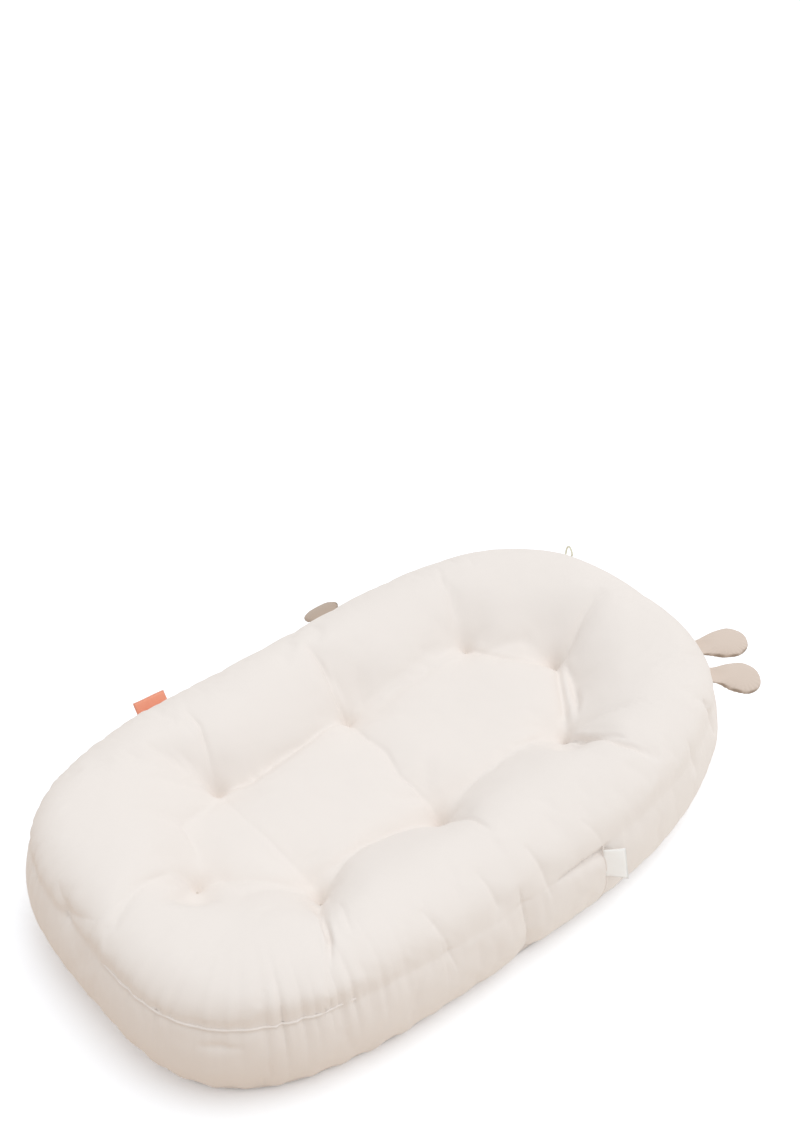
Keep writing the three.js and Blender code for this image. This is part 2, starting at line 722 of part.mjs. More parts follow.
// Label: a woven ribbon folded in half, with its two ends together in the seam
const ribbonHalf = ribbonGap / 2 + ribbonThickness;
const foldSteps = 5;
function foldedLabel(width, height) {
  const arc = (radius, from, to) => Array.from({ length: foldSteps + 1 }, (_, k) => {
    const turn = from + (to - from) * k / foldSteps;
    return [height - ribbonHalf + radius * Math.cos(turn), radius * Math.sin(turn)];
  });
  const inner = ribbonGap / 2;
  const root = -Math.sqrt(ribbonHalf ** 2 - inner ** 2);
  const points = [
    [0, -ribbonHalf], ...arc(ribbonHalf, -Math.PI / 2, Math.PI / 2), [0, ribbonHalf], [root, inner],
    ...arc(inner, Math.PI / 2, -Math.PI / 2), [root, -inner],
  ];
  const shape = new THREE.Shape(points.map(([x, y]) => new THREE.Vector2(x, y)));
  const label = new THREE.ExtrudeGeometry(shape, { depth: width, bevelEnabled: false });
  label.translate(0, 0, -width / 2);
  label.rotateX(-Math.PI / 2);
  return welded(label);
}
const orangeHinge = seamHinge(orangeLabelAngle, ribbonHalf);
const orangeGroup = hingedGroup(orangeHinge, orangeLabelRise);
addPiece("orange_label", foldedLabel(orangeLabelWidth, orangeLabelHeight), colours.orange, orangeGroup);

// The white label is sewn in the upright join of the band and swings away from the band
function bandHinge(column, width, halfThickness) {
  const [below, corner, top] = outerSkin.slice(bandEndRow - 2, bandEndRow + 1).map((row) => row[column]);
  const along = top.clone().sub(below).normalize();
  const level = new THREE.Vector3(columns[column].normal.x, columns[column].normal.y, 0);
  const out = level.clone().addScaledVector(along, -level.dot(along)).normalize();
  const middle = top.clone().sub(corner).dot(along) - whiteLabelDrop - width / 2;
  const origin = corner.clone().addScaledVector(out, seamGap + halfThickness).addScaledVector(along, middle);
  return { origin, along, out };
}
const whiteHinge = bandHinge(nearJoin, whiteLabelWidth, ribbonHalf);
const whiteGroup = new THREE.Group();
whiteGroup.quaternion.setFromRotationMatrix(new THREE.Matrix4().makeBasis(
  whiteHinge.out, whiteHinge.along, whiteHinge.out.clone().cross(whiteHinge.along)));
whiteGroup.position.copy(whiteHinge.origin);
whiteGroup.rotateY(THREE.MathUtils.degToRad(labelTilt - whiteLabelSwing));
lounger.add(whiteGroup);
addPiece("white_label", foldedLabel(whiteLabelWidth, whiteLabelHeight), colours.white, whiteGroup);

// Cord loop: one short piece of round cord with both its ends in the top seam
const cordPath = new THREE.CatmullRomCurve3(cordRoute.map(([x, y, z]) => new THREE.Vector3(x, y, z)));
const cordSection = new THREE.Shape(Array.from({ length: cordSides }, (_, k) => {
  const turn = 2 * Math.PI * k / cordSides;
  return new THREE.Vector2(Math.cos(turn), Math.sin(turn)).multiplyScalar(cordDiameter / 2);
}));
const cord = new THREE.ExtrudeGeometry(cordSection, { steps: cordSteps, extrudePath: cordPath });
addPiece("cord_loop", welded(cord), colours.cord);

export default lounger;
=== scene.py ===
import json
import math

import bmesh
import bpy
import numpy as np
from mathutils import Matrix, Vector, noise
from mathutils.bvhtree import BVHTree


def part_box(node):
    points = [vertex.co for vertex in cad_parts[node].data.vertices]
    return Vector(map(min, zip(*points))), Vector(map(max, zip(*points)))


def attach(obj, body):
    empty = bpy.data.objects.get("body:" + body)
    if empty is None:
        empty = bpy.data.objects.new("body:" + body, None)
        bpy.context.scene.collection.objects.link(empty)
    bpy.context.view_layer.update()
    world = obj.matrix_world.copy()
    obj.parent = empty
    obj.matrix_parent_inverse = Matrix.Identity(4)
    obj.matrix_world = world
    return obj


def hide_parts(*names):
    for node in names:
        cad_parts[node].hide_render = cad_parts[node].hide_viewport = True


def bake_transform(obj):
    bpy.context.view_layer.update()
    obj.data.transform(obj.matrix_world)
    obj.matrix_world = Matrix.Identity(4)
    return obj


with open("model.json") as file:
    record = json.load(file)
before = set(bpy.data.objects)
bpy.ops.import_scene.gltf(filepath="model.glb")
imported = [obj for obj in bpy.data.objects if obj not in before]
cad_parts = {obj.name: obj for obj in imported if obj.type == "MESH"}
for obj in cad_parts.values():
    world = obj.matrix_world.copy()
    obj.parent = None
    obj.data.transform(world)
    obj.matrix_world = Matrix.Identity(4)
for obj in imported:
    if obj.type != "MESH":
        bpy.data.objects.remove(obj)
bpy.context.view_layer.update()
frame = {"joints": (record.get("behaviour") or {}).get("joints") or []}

# Camera: it stands at the foot end on the near side and looks down on the bed, as the photograph does.
# Its offset is where the floor under the cushion's middle lies: to its right, over its axis and ahead.
camera_azimuth = math.radians(-40.694)
camera_pitch = math.radians(39.399)
camera_roll = math.radians(0.832)
camera_lens = 51.85
camera_offset = Vector((-0.00612, -0.29085, 1.83715))
camera_reach = 50
back = Vector((
    math.sin(camera_azimuth) * math.cos(camera_pitch),
    -math.cos(camera_azimuth) * math.cos(camera_pitch),
    math.sin(camera_pitch)))
level_right = (-back).cross(Vector((0, 0, 1))).normalized()
level_up = level_right.cross(-back)
camera_right = level_right * math.cos(camera_roll) + level_up * math.sin(camera_roll)
camera_up = level_up * math.cos(camera_roll) - level_right * math.sin(camera_roll)
camera_data = bpy.data.cameras.new("camera")
camera_data.lens = camera_lens
camera_data.clip_end = camera_reach
camera = bpy.data.objects.new("camera", camera_data)
camera.location = (
    back * camera_offset.z - camera_right * camera_offset.x - camera_up * camera_offset.y)
camera.rotation_mode = "QUATERNION"
camera.rotation_quaternion = Matrix(
    (camera_right, camera_up, back)).transposed().to_quaternion()
bpy.context.scene.collection.objects.link(camera)
bpy.context.scene.camera = camera


# Cord loop: a short piece of thin cream cord, sewn into the top seam at the head by both its ends.
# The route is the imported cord's own, point for point.
cord_diameter = 0.0022
cord_route = [
    (0.3707, 0.1139, 0.1153), (0.3710, 0.1141, 0.1176), (0.3727, 0.1143, 0.1203),
    (0.3743, 0.1130, 0.1232), (0.3752, 0.1110, 0.1262), (0.3757, 0.1099, 0.1292),
    (0.3761, 0.1106, 0.1320), (0.3772, 0.1131, 0.1341), (0.3790, 0.1168, 0.1349),
    (0.3804, 0.1203, 0.1341), (0.3805, 0.1226, 0.1319), (0.3793, 0.1229, 0.1290),
    (0.3773, 0.1216, 0.1262), (0.3746, 0.1197, 0.1233), (0.3718, 0.1184, 0.1204),
    (0.3693, 0.1182, 0.1177), (0.3686, 0.1180, 0.1153),
]
cord_cream = (0.93, 0.925, 0.85)
cord_shade = (0.86, 0.845, 0.74)


def linear(red, green, blue):
    """A colour as it looks on screen, as the numbers a shader takes."""
    def channel(value):
        return value / 12.92 if value <= 0.04045 else ((value + 0.055) / 1.055) ** 2.4
    return (channel(red), channel(green), channel(blue), 1.0)


class Finish:
    """A material's node tree, with short ways to add and join its nodes."""

    def __init__(self, name):
        self.material = bpy.data.materials.new(name)
        self.material.use_nodes = True
        self.tree = self.material.node_tree
        self.shader = self.tree.nodes["Principled BSDF"]

    def node(self, kind, inputs=(), **settings):
        made = self.tree.nodes.new(kind)
        for key, value in settings.items():
            setattr(made, key, value)
        for key, value in dict(inputs).items():
            if isinstance(value, bpy.types.NodeSocket):
                self.tree.links.new(value, made.inputs[key])
            else:
                made.inputs[key].default_value = value
        return made

    def maths(self, operation, *values):
        made = self.tree.nodes.new("ShaderNodeMath")
        made.operation = operation
        for socket, value in zip(made.inputs, values):
            if isinstance(value, bpy.types.NodeSocket):
                self.tree.links.new(value, socket)
            else:
                socket.default_value = value
        return made.outputs[0]

    def mix(self, share, first, second):
        made = self.node("ShaderNodeMix", {"Factor": share}, data_type="RGBA")
        for socket, value in ((made.inputs[6], first), (made.inputs[7], second)):
            if isinstance(value, bpy.types.NodeSocket):
                self.tree.links.new(value, socket)
            else:
                socket.default_value = value
        return made.outputs[2]

    def set(self, **sockets):
        for key, value in sockets.items():
            socket = self.shader.inputs[key.replace("_", " ")]
            if isinstance(value, bpy.types.NodeSocket):
                self.tree.links.new(value, socket)
            else:
                socket.default_value = value


def cord_finish():
    """Thin cream cord: strands that slant round it."""
    finish = Finish("cream cord")
    place = finish.node("ShaderNodeTexCoord").outputs["Object"]
    strands = finish.node(
        "ShaderNodeTexWave",
        {"Vector": place, "Scale": 260.0, "Distortion": 1.5, "Detail": 2.0},
        bands_direction="DIAGONAL")
    colour = finish.mix(strands.outputs["Fac"], linear(*cord_shade), linear(*cord_cream))
    bump = finish.node("ShaderNodeBump", {
        "Height": strands.outputs["Fac"], "Strength": 0.5, "Distance": 0.0004})
    finish.set(Base_Color=colour, Roughness=0.85, Normal=bump.outputs["Normal"], Sheen_Weight=0.2)
    return finish.material


cord_curve = bpy.data.curves.new("hanging_cord", "CURVE")
cord_curve.dimensions = "3D"
cord_curve.bevel_depth = cord_diameter / 2
cord_curve.bevel_resolution = 5
cord_curve.resolution_u = 6
cord_curve.use_fill_caps = True
spline = cord_curve.splines.new("BEZIER")
spline.bezier_points.add(len(cord_route) - 1)
for point, place in zip(spline.bezier_points, cord_route):
    point.co = place
    point.handle_left_type = point.handle_right_type = "AUTO"
cord = bpy.data.objects.new("hanging_cord", cord_curve)
bpy.context.scene.collection.objects.link(cord)
cord.data.materials.append(cord_finish())
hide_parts("cord_loop")
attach(cord, "lounger")


# Cushion: a top panel, a boxed side band and a base of ivory cotton, sewn shut round loose fibre.
# Eight tufting threads pull the bed down, and the cloth creases from each to the rim and across.
_, seam_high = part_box("top_seam")
base_low, base_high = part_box("base_seam")
panel_low, panel_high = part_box("top_panel")
half_length = (panel_high.x - panel_low.x) / 2
half_width = 0.23
seam_bead = 0.0013
seam_level = seam_high.z - seam_bead * math.sin(math.pi / 3)
base_seam_level = (base_low.z + base_high.z) / 2
rim_height = 0.158
rim_crown = 0.066
bed_height = 0.122
bed_edge = 0.150
tuft_depth = 0.031
tuft_spread = 0.013
slope_bend = 1.8
bed_lift = 0.004
side_roundness = 2.0
near_side_roundness = 2.8
near_side_start = 0.5
near_side_blend = 0.4
side_sag = 0.012
sag_reach = 0.19
band_bulge = 0.011
bulge_shift = 0.85
base_inset = 0.013
base_inset_power = 8
band_inset_power = 3
base_edge_reach = 0.026
base_dimple = 0.0095
base_dimple_reach = 0.032
base_dimple_floor = 0.0005
foot_squareness = 3.5
head_squareness = 2.7
head_flare = 0.03
cell = 0.0055
profile_reach = 0.4
profile_steps = 4001
support_step = 4
fold_sharpness = 1.25
far_away = 9.0
tiny = 1e-9
tuft_places = {
    "head": (0.250, 0.006), "far_head": (0.182, 0.089), "far_middle": (0.008, 0.094),
    "far_foot": (-0.172, 0.091), "foot": (-0.264, -0.004), "near_foot": (-0.173, -0.091),
    "near_middle": (-0.006, -0.086), "near_head": (0.173, -0.091),
}

# What part of the cover a point is on, with the seams in between
panel_zone = 0.0
top_seam_zone = 0.5
band_zone = 1.0
base_seam_zone = 1.5
base_zone = 2.0


def smooth(t):
    """An even step from 0 to 1 that starts and ends level."""
    t = np.clip(t, 0, 1)
    return t * t * (3 - 2 * t)


def outline(u, v):
    """Where the ray through a point of the unit square leaves the cushion's outline, seen from above."""
    long = np.hypot(u, v)
    c, s = u / long, v / long
    power = np.where(c > 0, head_squareness, foot_squareness)
    reach = (np.abs(c) ** power + np.abs(s) ** power) ** (-1 / power)
    flare = 1 + head_flare * reach * c
    return np.stack([reach * c * half_length, reach * s * flare * half_width], -1)


def sag(x):
    """How far the top seam sinks: most at the middle of the long sides."""
    return side_sag * np.exp(-(x / sag_reach) ** 2)


# The square's edge, walked round once, gives the outline's points and their outward directions
columns_along = 2 * round(half_length / cell)
columns_across = 2 * round(half_width / cell)
edge_u = np.concatenate([
    np.full(columns_across, 1.0), np.linspace(1, -1, columns_along, endpoint=False),
    np.full(columns_across, -1.0), np.linspace(-1, 1, columns_along, endpoint=False)])
edge_v = np.concatenate([
    np.linspace(-1, 1, columns_across, endpoint=False), np.full(columns_along, 1.0),
    np.linspace(1, -1, columns_across, endpoint=False), np.full(columns_along, -1.0)])
rim_points = outline(edge_u, edge_v)
rim_count = len(rim_points)


def turned_out(points):
    """The outward direction at each point of a closed row of points."""
    along = np.roll(points, -1, 0) - np.roll(points, 1, 0)
    out = np.stack([along[:, 1], -along[:, 0]], -1)
    return out / np.linalg.norm(out, axis=1, keepdims=True)


rim_out = turned_out(rim_points)
rim_steps = np.linalg.norm(np.roll(rim_points, -1, 0) - rim_points, axis=1)
rim_arc = np.concatenate([[0], np.cumsum(rim_steps)])


def rim_reading(points):
    """How far each point lies in from the outline, and where along the outline it is nearest to."""
    inward = np.full(len(points), far_away)
    arc = np.zeros(len(points))
    for k in range(rim_count):
        a, b = rim_points[k], rim_points[(k + 1) % rim_count]
        along = b - a
        t = np.clip((points - a) @ along / (along @ along), 0, 1)
        away = np.hypot(*(points - a - t[:, None] * along).T)
        nearer = away < inward
        inward[nearer] = away[nearer]
        arc[nearer] = (rim_arc[k] + t * rim_steps[k])[nearer]
    return inward, arc


def rim_profile(inward, rise, roundness=side_roundness):
    """Height over the seam at a distance in from it: a quarter round, then the slope into the bed."""
    from_crown = 1 - np.minimum(inward, rim_crown) / rim_crown
    round_share = np.clip(1 - from_crown ** roundness, 0, 1) ** (1 / roundness)
    slope = np.clip((inward - rim_crown) / (bed_edge - rim_crown), 0, 1) ** slope_bend
    return rise * round_share - (rim_height - bed_height) * slope


# Rings are spaced evenly over the cloth, so they crowd together where the rim drops to the seam
profile_in = np.linspace(0, profile_reach, profile_steps)
profile_up = rim_profile(profile_in, rim_height - seam_level)
profile_runs = np.hypot(np.diff(profile_in), np.diff(profile_up))
profile_long = np.concatenate([[0], np.cumsum(profile_runs)])
profile_extra = profile_long[-1] - profile_in[-1]


def spread_grid():
    """Points of the unit square, ring by ring spaced over the cloth, as seen from above."""
    u = np.linspace(-1, 1, columns_along + 1)
    v = np.linspace(-1, 1, columns_across + 1)
    u, v = (a.ravel() for a in np.meshgrid(u, v, indexing="ij"))
    ring = np.maximum(np.abs(u), np.abs(v))
    safe = np.maximum(ring, tiny)
    edge = outline(np.where(ring > 0, u / safe, 1), np.where(ring > 0, v / safe, 0))
    sampled = rim_points[None, ::support_step]
    gaps = (edge[:, None, 0] - sampled[..., 0]) ** 2 + (edge[:, None, 1] - sampled[..., 1]) ** 2
    nearest = np.argmin(gaps, axis=1) * support_step
    support = (edge * rim_out[nearest]).sum(-1)
    cloth = (1 - ring) * (support + profile_extra)
    inward = np.interp(cloth, profile_long, profile_in)
    return edge * np.clip(1 - inward / support, 0, 1)[:, None], ring


grid_flat, grid_ring = spread_grid()


def tuft_gaps(points):
    """The distance from every tuft to every point, seen from above."""
    return np.array([np.hypot(*(points - place).T) for place in tuft_places.values()])


def path_distance(points, path):
    """Distance to a path of straight runs, the side of it (left is positive) and how far along, 0 to 1."""
    path = np.array(path, float)
    lengths = np.linalg.norm(np.diff(path, axis=0), axis=1)
    starts = np.concatenate([[0], np.cumsum(lengths)])
    best = np.full(len(points), far_away)
    side = np.ones(len(points))
    share = np.zeros(len(points))
    for a, b, start, long in zip(path[:-1], path[1:], starts, lengths):
        along = b - a
        gap = points - a
        t = np.clip(gap @ along / (along @ along), 0, 1)
        d = np.hypot(*(gap - t[:, None] * along).T)
        nearer = d < best
        best[nearer] = d[nearer]
        side[nearer] = np.sign(along[0] * gap[:, 1] - along[1] * gap[:, 0])[nearer]
        share[nearer] = ((start + t * long) / starts[-1])[nearer]
    return best, side, share


# Folds that each tuft pulls into the bed and over the rim. Each has its path seen from above, the depths
# along it, its reach to the left and the right of the path, and the depth of the sharp line in it.
tuft = tuft_places
folds = {
    "far_edge_of_bed": (
        [tuft["far_foot"], (-0.137, 0.079), (-0.080, 0.084), (-0.035, 0.088), tuft["far_middle"]],
        [0.018, 0.020, 0.017, 0.014, 0.011], 0.018, 0.006, 0.0003),
    "far_bed_at_head": (
        [tuft["far_middle"], (0.060, 0.094), (0.120, 0.092), tuft["far_head"]],
        [0.009, 0.006, 0.005, 0.007], 0.022, 0.010, 0.0),
    "head_bed_far": (
        [tuft["far_head"], (0.199, 0.048), (0.226, 0.017), tuft["head"]],
        [0.009, 0.010, 0.010, 0.009], 0.020, 0.009, 0.0016),
    "head_bed_near": (
        [tuft["head"], (0.236, -0.012), (0.224, -0.026), (0.199, -0.059), tuft["near_head"]],
        [0.009, 0.012, 0.013, 0.012, 0.009], 0.009, 0.008, 0.0016),
    "head_bed_outer": (
        [(0.250, -0.006), (0.236, -0.034), (0.211, -0.067), (0.188, -0.088)],
        [0.007, 0.014, 0.014, 0.007], 0.026, 0.007, 0.0016),
    "near_bed_at_head": (
        [tuft["near_head"], (0.085, -0.092), tuft["near_middle"]],
        [0.005, 0.002, 0.005], 0.018, 0.018, 0.0),
    "near_edge_of_bed": (
        [tuft["near_middle"], (-0.047, -0.080), (-0.078, -0.076), (-0.109, -0.073), tuft["near_foot"]],
        [0.009, 0.010, 0.008, 0.004, 0.008], 0.020, 0.011, 0.0014),
    "near_foot_of_bed": (
        [tuft["near_foot"], (-0.215, -0.047), tuft["foot"]],
        [0.008, 0.004, 0.005], 0.022, 0.016, 0.0),
    "far_foot_of_bed": (
        [tuft["foot"], (-0.220, 0.048), tuft["far_foot"]],
        [0.004, 0.002, 0.004], 0.024, 0.024, 0.0),
    "across_middle": (
        [tuft["far_middle"], (-0.002, 0.049), (-0.001, 0.016), (-0.012, -0.022), (-0.008, -0.042),
         tuft["near_middle"]],
        [0.009, 0.007, 0.006, 0.006, 0.007, 0.009], 0.011, 0.011, 0.0018),
    "across_foot": (
        [tuft["far_foot"], (-0.181, 0.036), (-0.178, -0.003), (-0.177, -0.028), tuft["near_foot"]],
        [0.007, 0.003, 0.003, 0.007, 0.012], 0.012, 0.015, 0.0007),
    "far_foot_over_rim": (
        [tuft["far_foot"], (-0.160, 0.128), (-0.155, 0.144), (-0.155, 0.172)],
        [0.010, 0.008, 0.005, 0.0], 0.013, 0.013, 0.0010),
    "far_middle_over_rim": (
        [tuft["far_middle"], (0.008, 0.119), (0.012, 0.144), (0.011, 0.178)],
        [0.012, 0.011, 0.007, 0.0], 0.010, 0.016, 0.0020),
    "far_head_over_rim": (
        [tuft["far_head"], (0.190, 0.125), (0.204, 0.165)],
        [0.009, 0.006, 0.0], 0.014, 0.014, 0.0),
    "head_over_rim": (
        [tuft["head"], (0.272, 0.005), (0.300, 0.013), (0.330, 0.020)],
        [0.012, 0.011, 0.007, 0.0], 0.011, 0.015, 0.0016),
    "near_head_over_rim": (
        [tuft["near_head"], (0.170, -0.118), (0.172, -0.145), (0.182, -0.172)],
        [0.011, 0.011, 0.008, 0.0], 0.009, 0.005, 0.0040),
    "near_head_over_rim_low": (
        [tuft["near_head"], (0.166, -0.125), (0.170, -0.165), (0.190, -0.206)],
        [0.008, 0.008, 0.005, 0.0], 0.007, 0.009, 0.0030),
    "near_middle_over_rim": (
        [tuft["near_middle"], (-0.009, -0.115), (-0.015, -0.150), (-0.018, -0.176)],
        [0.011, 0.008, 0.004, 0.0], 0.009, 0.009, 0.0020),
    "near_foot_over_rim": (
        [tuft["near_foot"], (-0.192, -0.113), (-0.209, -0.142), (-0.227, -0.174), (-0.241, -0.195),
         (-0.253, -0.210)],
        [0.012, 0.014, 0.011, 0.007, 0.003, 0.0], 0.012, 0.014, 0.0030),
    "near_foot_second": (
        [(-0.186, -0.134), (-0.196, -0.160), (-0.206, -0.184)],
        [0.0, 0.004, 0.0], 0.010, 0.010, 0.0008),
    "foot_over_rim": (
        [(-0.285, 0.004), (-0.314, 0.002), (-0.345, -0.012), (-0.368, -0.022)],
        [0.0, 0.006, 0.005, 0.0], 0.012, 0.012, 0.0008),
}


# Pockets: the wide hollows that open beside the tufts, each with its middle, depth and reach
pockets = [
    ((-0.284, -0.030), 0.032, 0.030), ((-0.194, -0.116), 0.023, 0.028), ((0.151, -0.118), 0.029, 0.027),
    ((-0.022, -0.108), 0.013, 0.024), ((0.034, 0.112), 0.016, 0.024), ((-0.196, 0.114), 0.008, 0.020),
    ((0.262, 0.028), 0.006, 0.026),
]


def fold_pull(points, path, depths, left, right):
    """How deep a fold is at each point: deepest on its path, with a rounded shoulder on either side."""
    away, side, share = path_distance(points, path)
    reach = np.where(side > 0, left, right)
    depth = np.interp(share, np.linspace(0, 1, len(depths)), depths)
    return depth * np.exp(-(away / reach) ** fold_sharpness)


def top_height(points):
    """Height of the top panel: the rim and bed, less what folds, tufts and pockets pull it down."""
    inward, _ = rim_reading(points)
    rise = rim_height - seam_level
    nearness = smooth((-points[:, 1] / half_width - near_side_start) / near_side_blend)
    roundness = side_roundness + (near_side_roundness - side_roundness) * nearness
    height = seam_level - sag(points[:, 0]) + rim_profile(inward, rise, roundness)
    pulls = [fold_pull(points, *fold[:4]) for fold in folds.values()]
    pull = np.max(pulls, axis=0) + (tuft_depth * np.exp(-tuft_gaps(points) / tuft_spread)).sum(0)
    for middle, depth, reach in pockets:
        pull += depth * np.exp(-(np.hypot(*(points - middle).T) / reach) ** 2)
    pull += bed_lift * smooth((inward - rim_crown) / (bed_edge - rim_crown))
    return height - pull * smooth(inward / rim_crown)


def base_height(points, inward):
    """Height of the base: flat on the floor, drawn up at the tufts and turned up to its seam."""
    rise = (base_dimple * smooth(1 - tuft_gaps(points) / base_dimple_reach)).sum(0) - base_dimple_floor
    edge = base_seam_level * np.clip(1 - inward / base_edge_reach, 0, 1) ** 2
    return np.maximum(0, rise) + edge


def cushion_mesh():
    """The sewn cover as one closed skin: top panel, side band and base share their edges."""
    top = np.column_stack([grid_flat, top_height(grid_flat)])
    inset = (base_inset + seam_bead) * grid_ring ** base_inset_power
    from_middle = np.maximum(np.linalg.norm(grid_flat, axis=1), tiny)
    flat = grid_flat * (1 - inset / from_middle)[:, None]
    base = np.column_stack([flat, base_height(flat, rim_reading(flat)[0])])
    index = np.arange((columns_along + 1) * (columns_across + 1)).reshape(columns_along + 1, -1)
    loop = np.concatenate([index[-1, :-1], index[::-1, -1][:-1], index[0, ::-1][:-1], index[:-1, 0]])
    band_height = seam_level - base_seam_level
    band_rows = round(band_height / cell)
    top_seam_z = top[loop, 2]
    rows = []
    for row in range(1, band_rows):
        share = row / band_rows
        offset = band_bulge * math.sin(math.pi * share ** bulge_shift)
        offset = offset - base_inset * (1 - share) ** band_inset_power
        place = rim_points + rim_out * offset
        height = base_seam_level + (top_seam_z - base_seam_level) * share
        rows.append(np.column_stack([place, height]))
    count = len(top)
    vertices = np.concatenate([top, base, *rows])
    zone = np.full(len(vertices), band_zone)
    zone[:count] = panel_zone
    zone[count:2 * count] = base_zone
    zone[loop] = top_seam_zone
    zone[count + loop] = base_seam_zone
    faces = []
    uvs = []
    a, b = index[:-1, :-1].ravel(), index[1:, :-1].ravel()
    c, d = index[1:, 1:].ravel(), index[:-1, 1:].ravel()
    for quad in np.column_stack([a, b, c, d]):
        faces.append(quad.tolist())
        uvs.extend(top[quad, :2])
    for quad in np.column_stack([d, c, b, a]) + count:
        faces.append(quad.tolist())
        uvs.extend(base[quad - count, :2])
    loops = [loop + count]
    loops += [2 * count + row * rim_count + np.arange(rim_count) for row in range(band_rows - 1)]
    loops += [loop]
    for row, (under, over) in enumerate(zip(loops[:-1], loops[1:])):
        low = row * band_height / band_rows
        high = (row + 1) * band_height / band_rows
        for i in range(rim_count):
            j = (i + 1) % rim_count
            start, end = rim_arc[i], rim_arc[i + 1]
            faces.append([int(under[i]), int(under[j]), int(over[j]), int(over[i])])
            uvs.extend([(start, low), (end, low), (end, high), (start, high)])
    mesh = bpy.data.meshes.new("cushion_cover")
    mesh.from_pydata(vertices.tolist(), [], faces)
    mesh.uv_layers.new(name="cloth").data.foreach_set("uv", np.array(uvs, np.float32).ravel())
    mesh.attributes.new("zone", "FLOAT", "POINT").data.foreach_set("value", zone.astype(np.float32))
    mesh.update()
    return mesh


cushion = bpy.data.objects.new("cushion_cover", cushion_mesh())
bpy.context.scene.collection.objects.link(cushion)


def places(mesh):
    """The mesh's points as rows of x, y and z."""
    co = np.zeros(len(mesh.vertices) * 3, np.float32)
    mesh.vertices.foreach_get("co", co)
    return co.reshape(-1, 3).astype(float)


def set_places(mesh, co):
    """Puts the mesh's points at these rows of x, y and z."""
    mesh.vertices.foreach_set("co", co.astype(np.float32).ravel())
    mesh.update()


def directions(mesh):
    """The outward direction at each of the mesh's points."""
    out = np.zeros(len(mesh.vertices) * 3, np.float32)
    mesh.vertex_normals.foreach_get("vector", out)
    return out.reshape(-1, 3).astype(float)


def zones(mesh):
    """What part of the cover each of the mesh's points is on."""
    zone = np.zeros(len(mesh.vertices), np.float32)
    mesh.attributes["zone"].data.foreach_get("value", zone)
    return zone


def alone(piece):
    """Selects this piece and nothing else."""
    bpy.ops.object.select_all(action="DESELECT")
    piece.select_set(True)
    bpy.context.view_layer.objects.active = piece


def fill_by_pressure(piece, held, pressure, slack, furthest, frames):
    """Cloth simulation: the cover is blown up against its seams and tufts, and no point moves far."""
    start = places(piece.data)
    group = piece.vertex_groups.new(name="held")
    for weight in np.unique(held[held > 0]):
        group.add(np.flatnonzero(held == weight).tolist(), float(weight), "REPLACE")
    alone(piece)
    cloth = piece.modifiers.new("filled", "CLOTH")
    cloth.settings.quality = 5
    cloth.settings.mass = 0.3
    cloth.settings.tension_stiffness = 15
    cloth.settings.compression_stiffness = 15
    cloth.settings.shear_stiffness = 5
    cloth.settings.bending_stiffness = 0.1
    cloth.settings.use_pressure = True
    cloth.settings.uniform_pressure_force = pressure
    cloth.settings.shrink_min = -slack
    cloth.settings.vertex_group_mass = group.name
    cloth.settings.effector_weights.gravity = 0
    cloth.point_cache.frame_start = 1
    cloth.point_cache.frame_end = frames
    for frame_number in range(1, frames + 1):
        bpy.context.scene.frame_set(frame_number)
    bpy.ops.object.modifier_apply(modifier=cloth.name)
    bpy.context.scene.frame_set(1)
    piece.vertex_groups.clear()
    move = places(piece.data) - start
    far = np.linalg.norm(move, axis=1, keepdims=True)
    set_places(piece.data, start + move * np.tanh(far / furthest) * furthest / np.maximum(far, tiny))


held_round_tuft = 0.004
cover_places = places(cushion.data)
cover_zone = zones(cushion.data)
in_seam = (cover_zone == top_seam_zone) | (cover_zone >= base_seam_zone)
at_tuft = tuft_gaps(cover_places[:, :2]).min(0) < held_round_tuft
held = np.where(in_seam | ((cover_zone == panel_zone) & at_tuft), 1.0, 0.0)
fill_by_pressure(cushion, held, pressure=4.0, slack=0.01, furthest=0.006, frames=20)


def apply_subdivision(piece, levels):
    """Rounds the piece off with finer faces."""
    alone(piece)
    finer = piece.modifiers.new("finer", "SUBSURF")
    finer.levels = finer.render_levels = levels
    bpy.ops.object.modifier_apply(modifier=finer.name)


apply_subdivision(cushion, 1)


def unrolled(points, zone):
    """Place along the outline and distance over the top seam, on the cloth, for each point of the cover."""
    inward, arc = rim_reading(points[:, :2])
    seam = seam_level - sag(points[:, 0])
    over = np.interp(inward, profile_in, profile_long)
    return arc, np.where(zone <= top_seam_zone, over, points[:, 2] - seam)


def arc_at(x, y):
    """How far round the outline a place lies."""
    return rim_reading(np.array([(x, y)]))[1][0]


